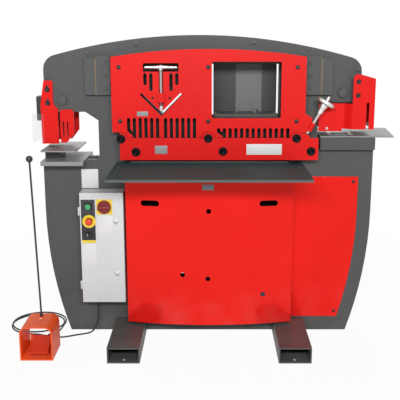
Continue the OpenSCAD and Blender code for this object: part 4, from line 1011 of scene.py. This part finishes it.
def tube(outer, inner, low, high, at):
    """A ring with a rounded front edge."""
    body = turned([(high, outer), (low + 1, outer), (low, outer - 1.2)], "Y", at)
    return cut(body, rod(inner, low - 1, high + 1, "Y", at))


def door_hole(piece, radius, at):
    """Bore a hole through a plate on the door."""
    return cut(piece, rod(radius, PLATE_Y - 1, DOOR_Y + 1, "Y", at))


button_plate = plate(BUTTON_PLATE, PLATE_Y, DOOR_Y)
for at, hole in ((start_at, START_HOLE_R), (stop_at, KNOB_HOLE_R), (selector_at, KNOB_HOLE_R)):
    door_hole(button_plate, hole, at)
rounded(button_plate, MOULDED_EDGE, 2)
door_piece(button_plate, "button_plate", panel_black, "black_plastic", "switch_plates")
isolator_plate = door_hole(plate(ISOLATOR_PLATE, PLATE_Y, DOOR_Y), KNOB_HOLE_R, isolator_at)
yellow = [isolator_plate, plate(BUTTON_STRIP, PLATE_Y + 0.8, DOOR_Y)]
for piece in yellow:
    rounded(piece, MOULDED_EDGE, 2)
yellow.append(tube(32, 16.4, PLATE_Y - 3, PLATE_Y, stop_at))
door_piece(joined(yellow), "yellow_plates", yellow_plastic, "yellow_plate")
bezels = [tube(18, 14.2, PLATE_Y - 4, PLATE_Y, start_at),
          tube(19, 15.5, PLATE_Y - 2.5, PLATE_Y, selector_at)]
door_piece(joined(bezels), "switch_bezels", black_plastic, "black_plastic")
notes = [rounded(plate(corners, PLATE_Y + 1.2, DOOR_Y), NOTE_EDGE, 2) for corners in NOTES]
door_piece(joined(notes), "blank_door_plates", plate_white, "box_grey")
print("door plates made")

# %% [markdown]
# ## Buttons, knobs and locks
# Moulded buttons are round, so each is a disc that is extruded and resized from station to station. A
# turning knob is a low disc with a grip bar across it, which shows which way it is set. The stop button's
# collar ends short of its plate, so that there is room for its travel.

# %% Buttons and knobs
GRIP_EDGE = 2.6 * MM
POINTER = ((-587.2, 540), (-584.8, 549))
POINTER_EDGE = 0.4 * MM
LATCH_X = -451
LATCH_SLOT = (7, 1.4)
TONGUE_X = (-456, -425)
TONGUE_Y = (-161.3, -158.3)
TONGUE_HALF = 5
TONGUE_EDGE = 1 * MM
start = turned([(-178.3, 9), (-178, 12), (-176.8, 13.3), (-165.3, 13.3)], "Y", start_at)
settle(start, "start_cap", green_plastic, "start_button", "green_plastic", "start_button")
stop = turned([(-194.3, 6), (-193.8, 10), (-191.6, 13.6), (-188, 15.7), (-184, 16), (-181, 15), (-179.3, 12),
               (-179.3, 7.5), (-175.8, 7.5), (-175.8, KNOB_STEM_R), (KNOB_STEM_END, KNOB_STEM_R)], "Y",
              stop_at)
settle(stop, "stop_mushroom", stop_red, "stop_button", "red_plastic", "stop_button")


def grip_knob(at, radius, base, top, bar, name, material, body, slot):
    """A round knob: its disc stands base out of the plate, and its grip bar stands top out of it.
    bar is the grip's half length along X and half height along Z."""
    disc = turned([(KNOB_STEM_END, KNOB_STEM_R), (PLATE_Y - 0.3, KNOB_STEM_R), (PLATE_Y - 0.3, radius),
                   (PLATE_Y - base + 2, radius - 0.6), (PLATE_Y - base, radius - 2.4)], "Y", at)
    low = (at[0] - bar[0], PLATE_Y - top, at[1] - bar[1])
    high = (at[0] + bar[0], PLATE_Y - base + 0.5, at[1] + bar[1])
    grip = rounded(slab(low, high), GRIP_EDGE)
    return settle(joined([disc, grip]), name, material, body, slot, body)


grip_knob(selector_at, 15, 9, 22, (4.5, 14), "selector_handle", black_plastic, "selector_knob",
          "black_plastic")
grip_knob(isolator_at, 33, 10, 28, (30, 8), "isolator_handle", knob_red, "disconnect_knob", "red_plastic")
pointer = rounded(plate(POINTER, PLATE_Y - 22.6, PLATE_Y - 21.5), POINTER_EDGE, 2)
settle(pointer, "selector_pointer", white_plastic, "selector_knob", "black_plastic")
for name in ("upper_latch", "lower_latch"):
    z = middle_of(name, Z)[0]
    lock = turned([(-174.3, 9.4), (-173.4, 11), (-168.6, 11), (-168.6, 5), (TONGUE_Y[0], 5)], "Y",
                  (LATCH_X, z))
    reach, half = LATCH_SLOT
    cut(lock, plate(((LATCH_X - reach, z - half), (LATCH_X + reach, z + half)), -176, -172.4))
    tongue = plate(((TONGUE_X[0], z - TONGUE_HALF), (TONGUE_X[1], z + TONGUE_HALF)), *TONGUE_Y)
    rounded(tongue, TONGUE_EDGE, 2)
    settle(joined([lock, tongue]), name + "_lock", zinc_plate, name, "bright_steel", name)
print("switches and latches made")

# %% [markdown]
# ## Cable gland and foot switch fittings
# The gland is a hex nut over a ribbed cone that keeps the cord from kinking. The foot switch has a thin pole
# with a ball knob, to carry it by, and ribs on its treadle so that a boot doesn't slip.

# %% Gland, pole and treadle ribs
GLAND_RINGS = 6
RING_STEP = 3
RING_GROWTH = 0.35
GLAND_BORE = 3.9
gland_at = middle_of("cord_gland", X, Y)
cone = [(164, 5.4)]
for i in range(GLAND_RINGS):
    up = i * RING_STEP
    out = i * RING_GROWTH
    cone += [(165 + up, 5.8 + out), (166.6 + up, 5.8 + out), (166.8 + up, 5.0 + out)]
gland = [turned(cone + [(184, 8.5)], "Z", gland_at),
         turned([(184, 11), (185, 12), (193, 12), (194, 11)], "Z", gland_at, 6)]
bored = [cut(piece, rod(GLAND_BORE, 163, 195, "Z", gland_at)) for piece in gland]
settle(joined(bored), "gland_nut", black_plastic, "frame", "black_plastic", "cord_gland")

pole_at = (-806, -284)
POLE_FOOT = 171
POLE_LEAN = math.radians(1.4)
POLE_R = 4.5
BALL_R = 16
BALL_UP = 930 - POLE_FOOT
ball_angles = [math.radians(10 + i * 10) for i in range(17)]
ball = [(BALL_UP - BALL_R * math.cos(a), BALL_R * math.sin(a)) for a in ball_angles]
stick = turned([(0, POLE_R), (BALL_UP - 12, POLE_R)], "Z", sides=20)
pole = joined([stick, turned(ball, "Z", sides=32)])
pole.rotation_euler = (0, -POLE_LEAN, 0)
pole.location = Vector((*pole_at, POLE_FOOT)) * MM
bpy.ops.object.transform_apply(location=True, rotation=True, scale=True)
pole_nut = turned([(165, 8.2), (176, 8.2), (177, 7)], "Z", pole_at, 6)
settle(joined([pole, pole_nut]), "pole_and_knob", black_plastic, "frame", "black_plastic", "pedal_pole")

RIBS = 9
RIB_LOW = (-846, -1.6, -1.5)
RIB_HIGH = (-766, 1.6, 1.4)
RIB_EDGE = 1.1 * MM
TREADLE_SLOPE = math.atan2(33, 134)
FIRST_RIB = Vector((0, -400, 30))
RIB_SPAN = Vector((0, 126, 31))
ribs = []
for i in range(RIBS):
    rib = rounded(slab(RIB_LOW, RIB_HIGH), RIB_EDGE, 2)
    rib.rotation_euler = (TREADLE_SLOPE, 0, 0)
    rib.location = (FIRST_RIB + RIB_SPAN * (i + 0.7) / RIBS) * MM
    bpy.ops.object.transform_apply(location=True, rotation=True, scale=True)
    ribs.append(rib)
settle(joined(ribs), "treadle_ribs", treadle_paint, "treadle", "pedal_orange")
print("gland, pole and treadle ribs made")

# %% [markdown]
# ## Blank plates
# Thin plates mark where a maker would rivet data plates. They stay blank. Each is a thin box with its corners
# eased, and it rides on the piece that carries it, so the two on the hold-down bar move with the bar.

# %% Plates on the frame, the guard, the bar and the cover
BLANK_EDGE = 0.4 * MM
COVER_Y = -209.4
blanks = [
    ("blank_frame_plate", plate_white, "frame", ((-625, 750), (-543, 844)), FRONT_Y, 1.2),
    ("blank_bar_plate", plate_white, "holddown_bar", ((176, 928), (344, 979)), GUARD_Y, 1.0),
    ("blank_guard_plate", plate_grey, "frame", ((-340, 1111), (-288, 1133)), GUARD_Y, 1.0),
    ("blank_bar_label", plate_grey, "holddown_bar", ((-258, 932), (-199, 971)), GUARD_Y, 1.0),
    ("blank_cover_plate", plate_grey, "frame", ((-34, 768), (22, 796)), COVER_Y, 1.8),
]
for name, material, body, corners, back, thick in blanks:
    settle(rounded(plate(corners, back - thick, back), BLANK_EDGE, 2), name, material, body, "box_grey")
print("blank plates made")
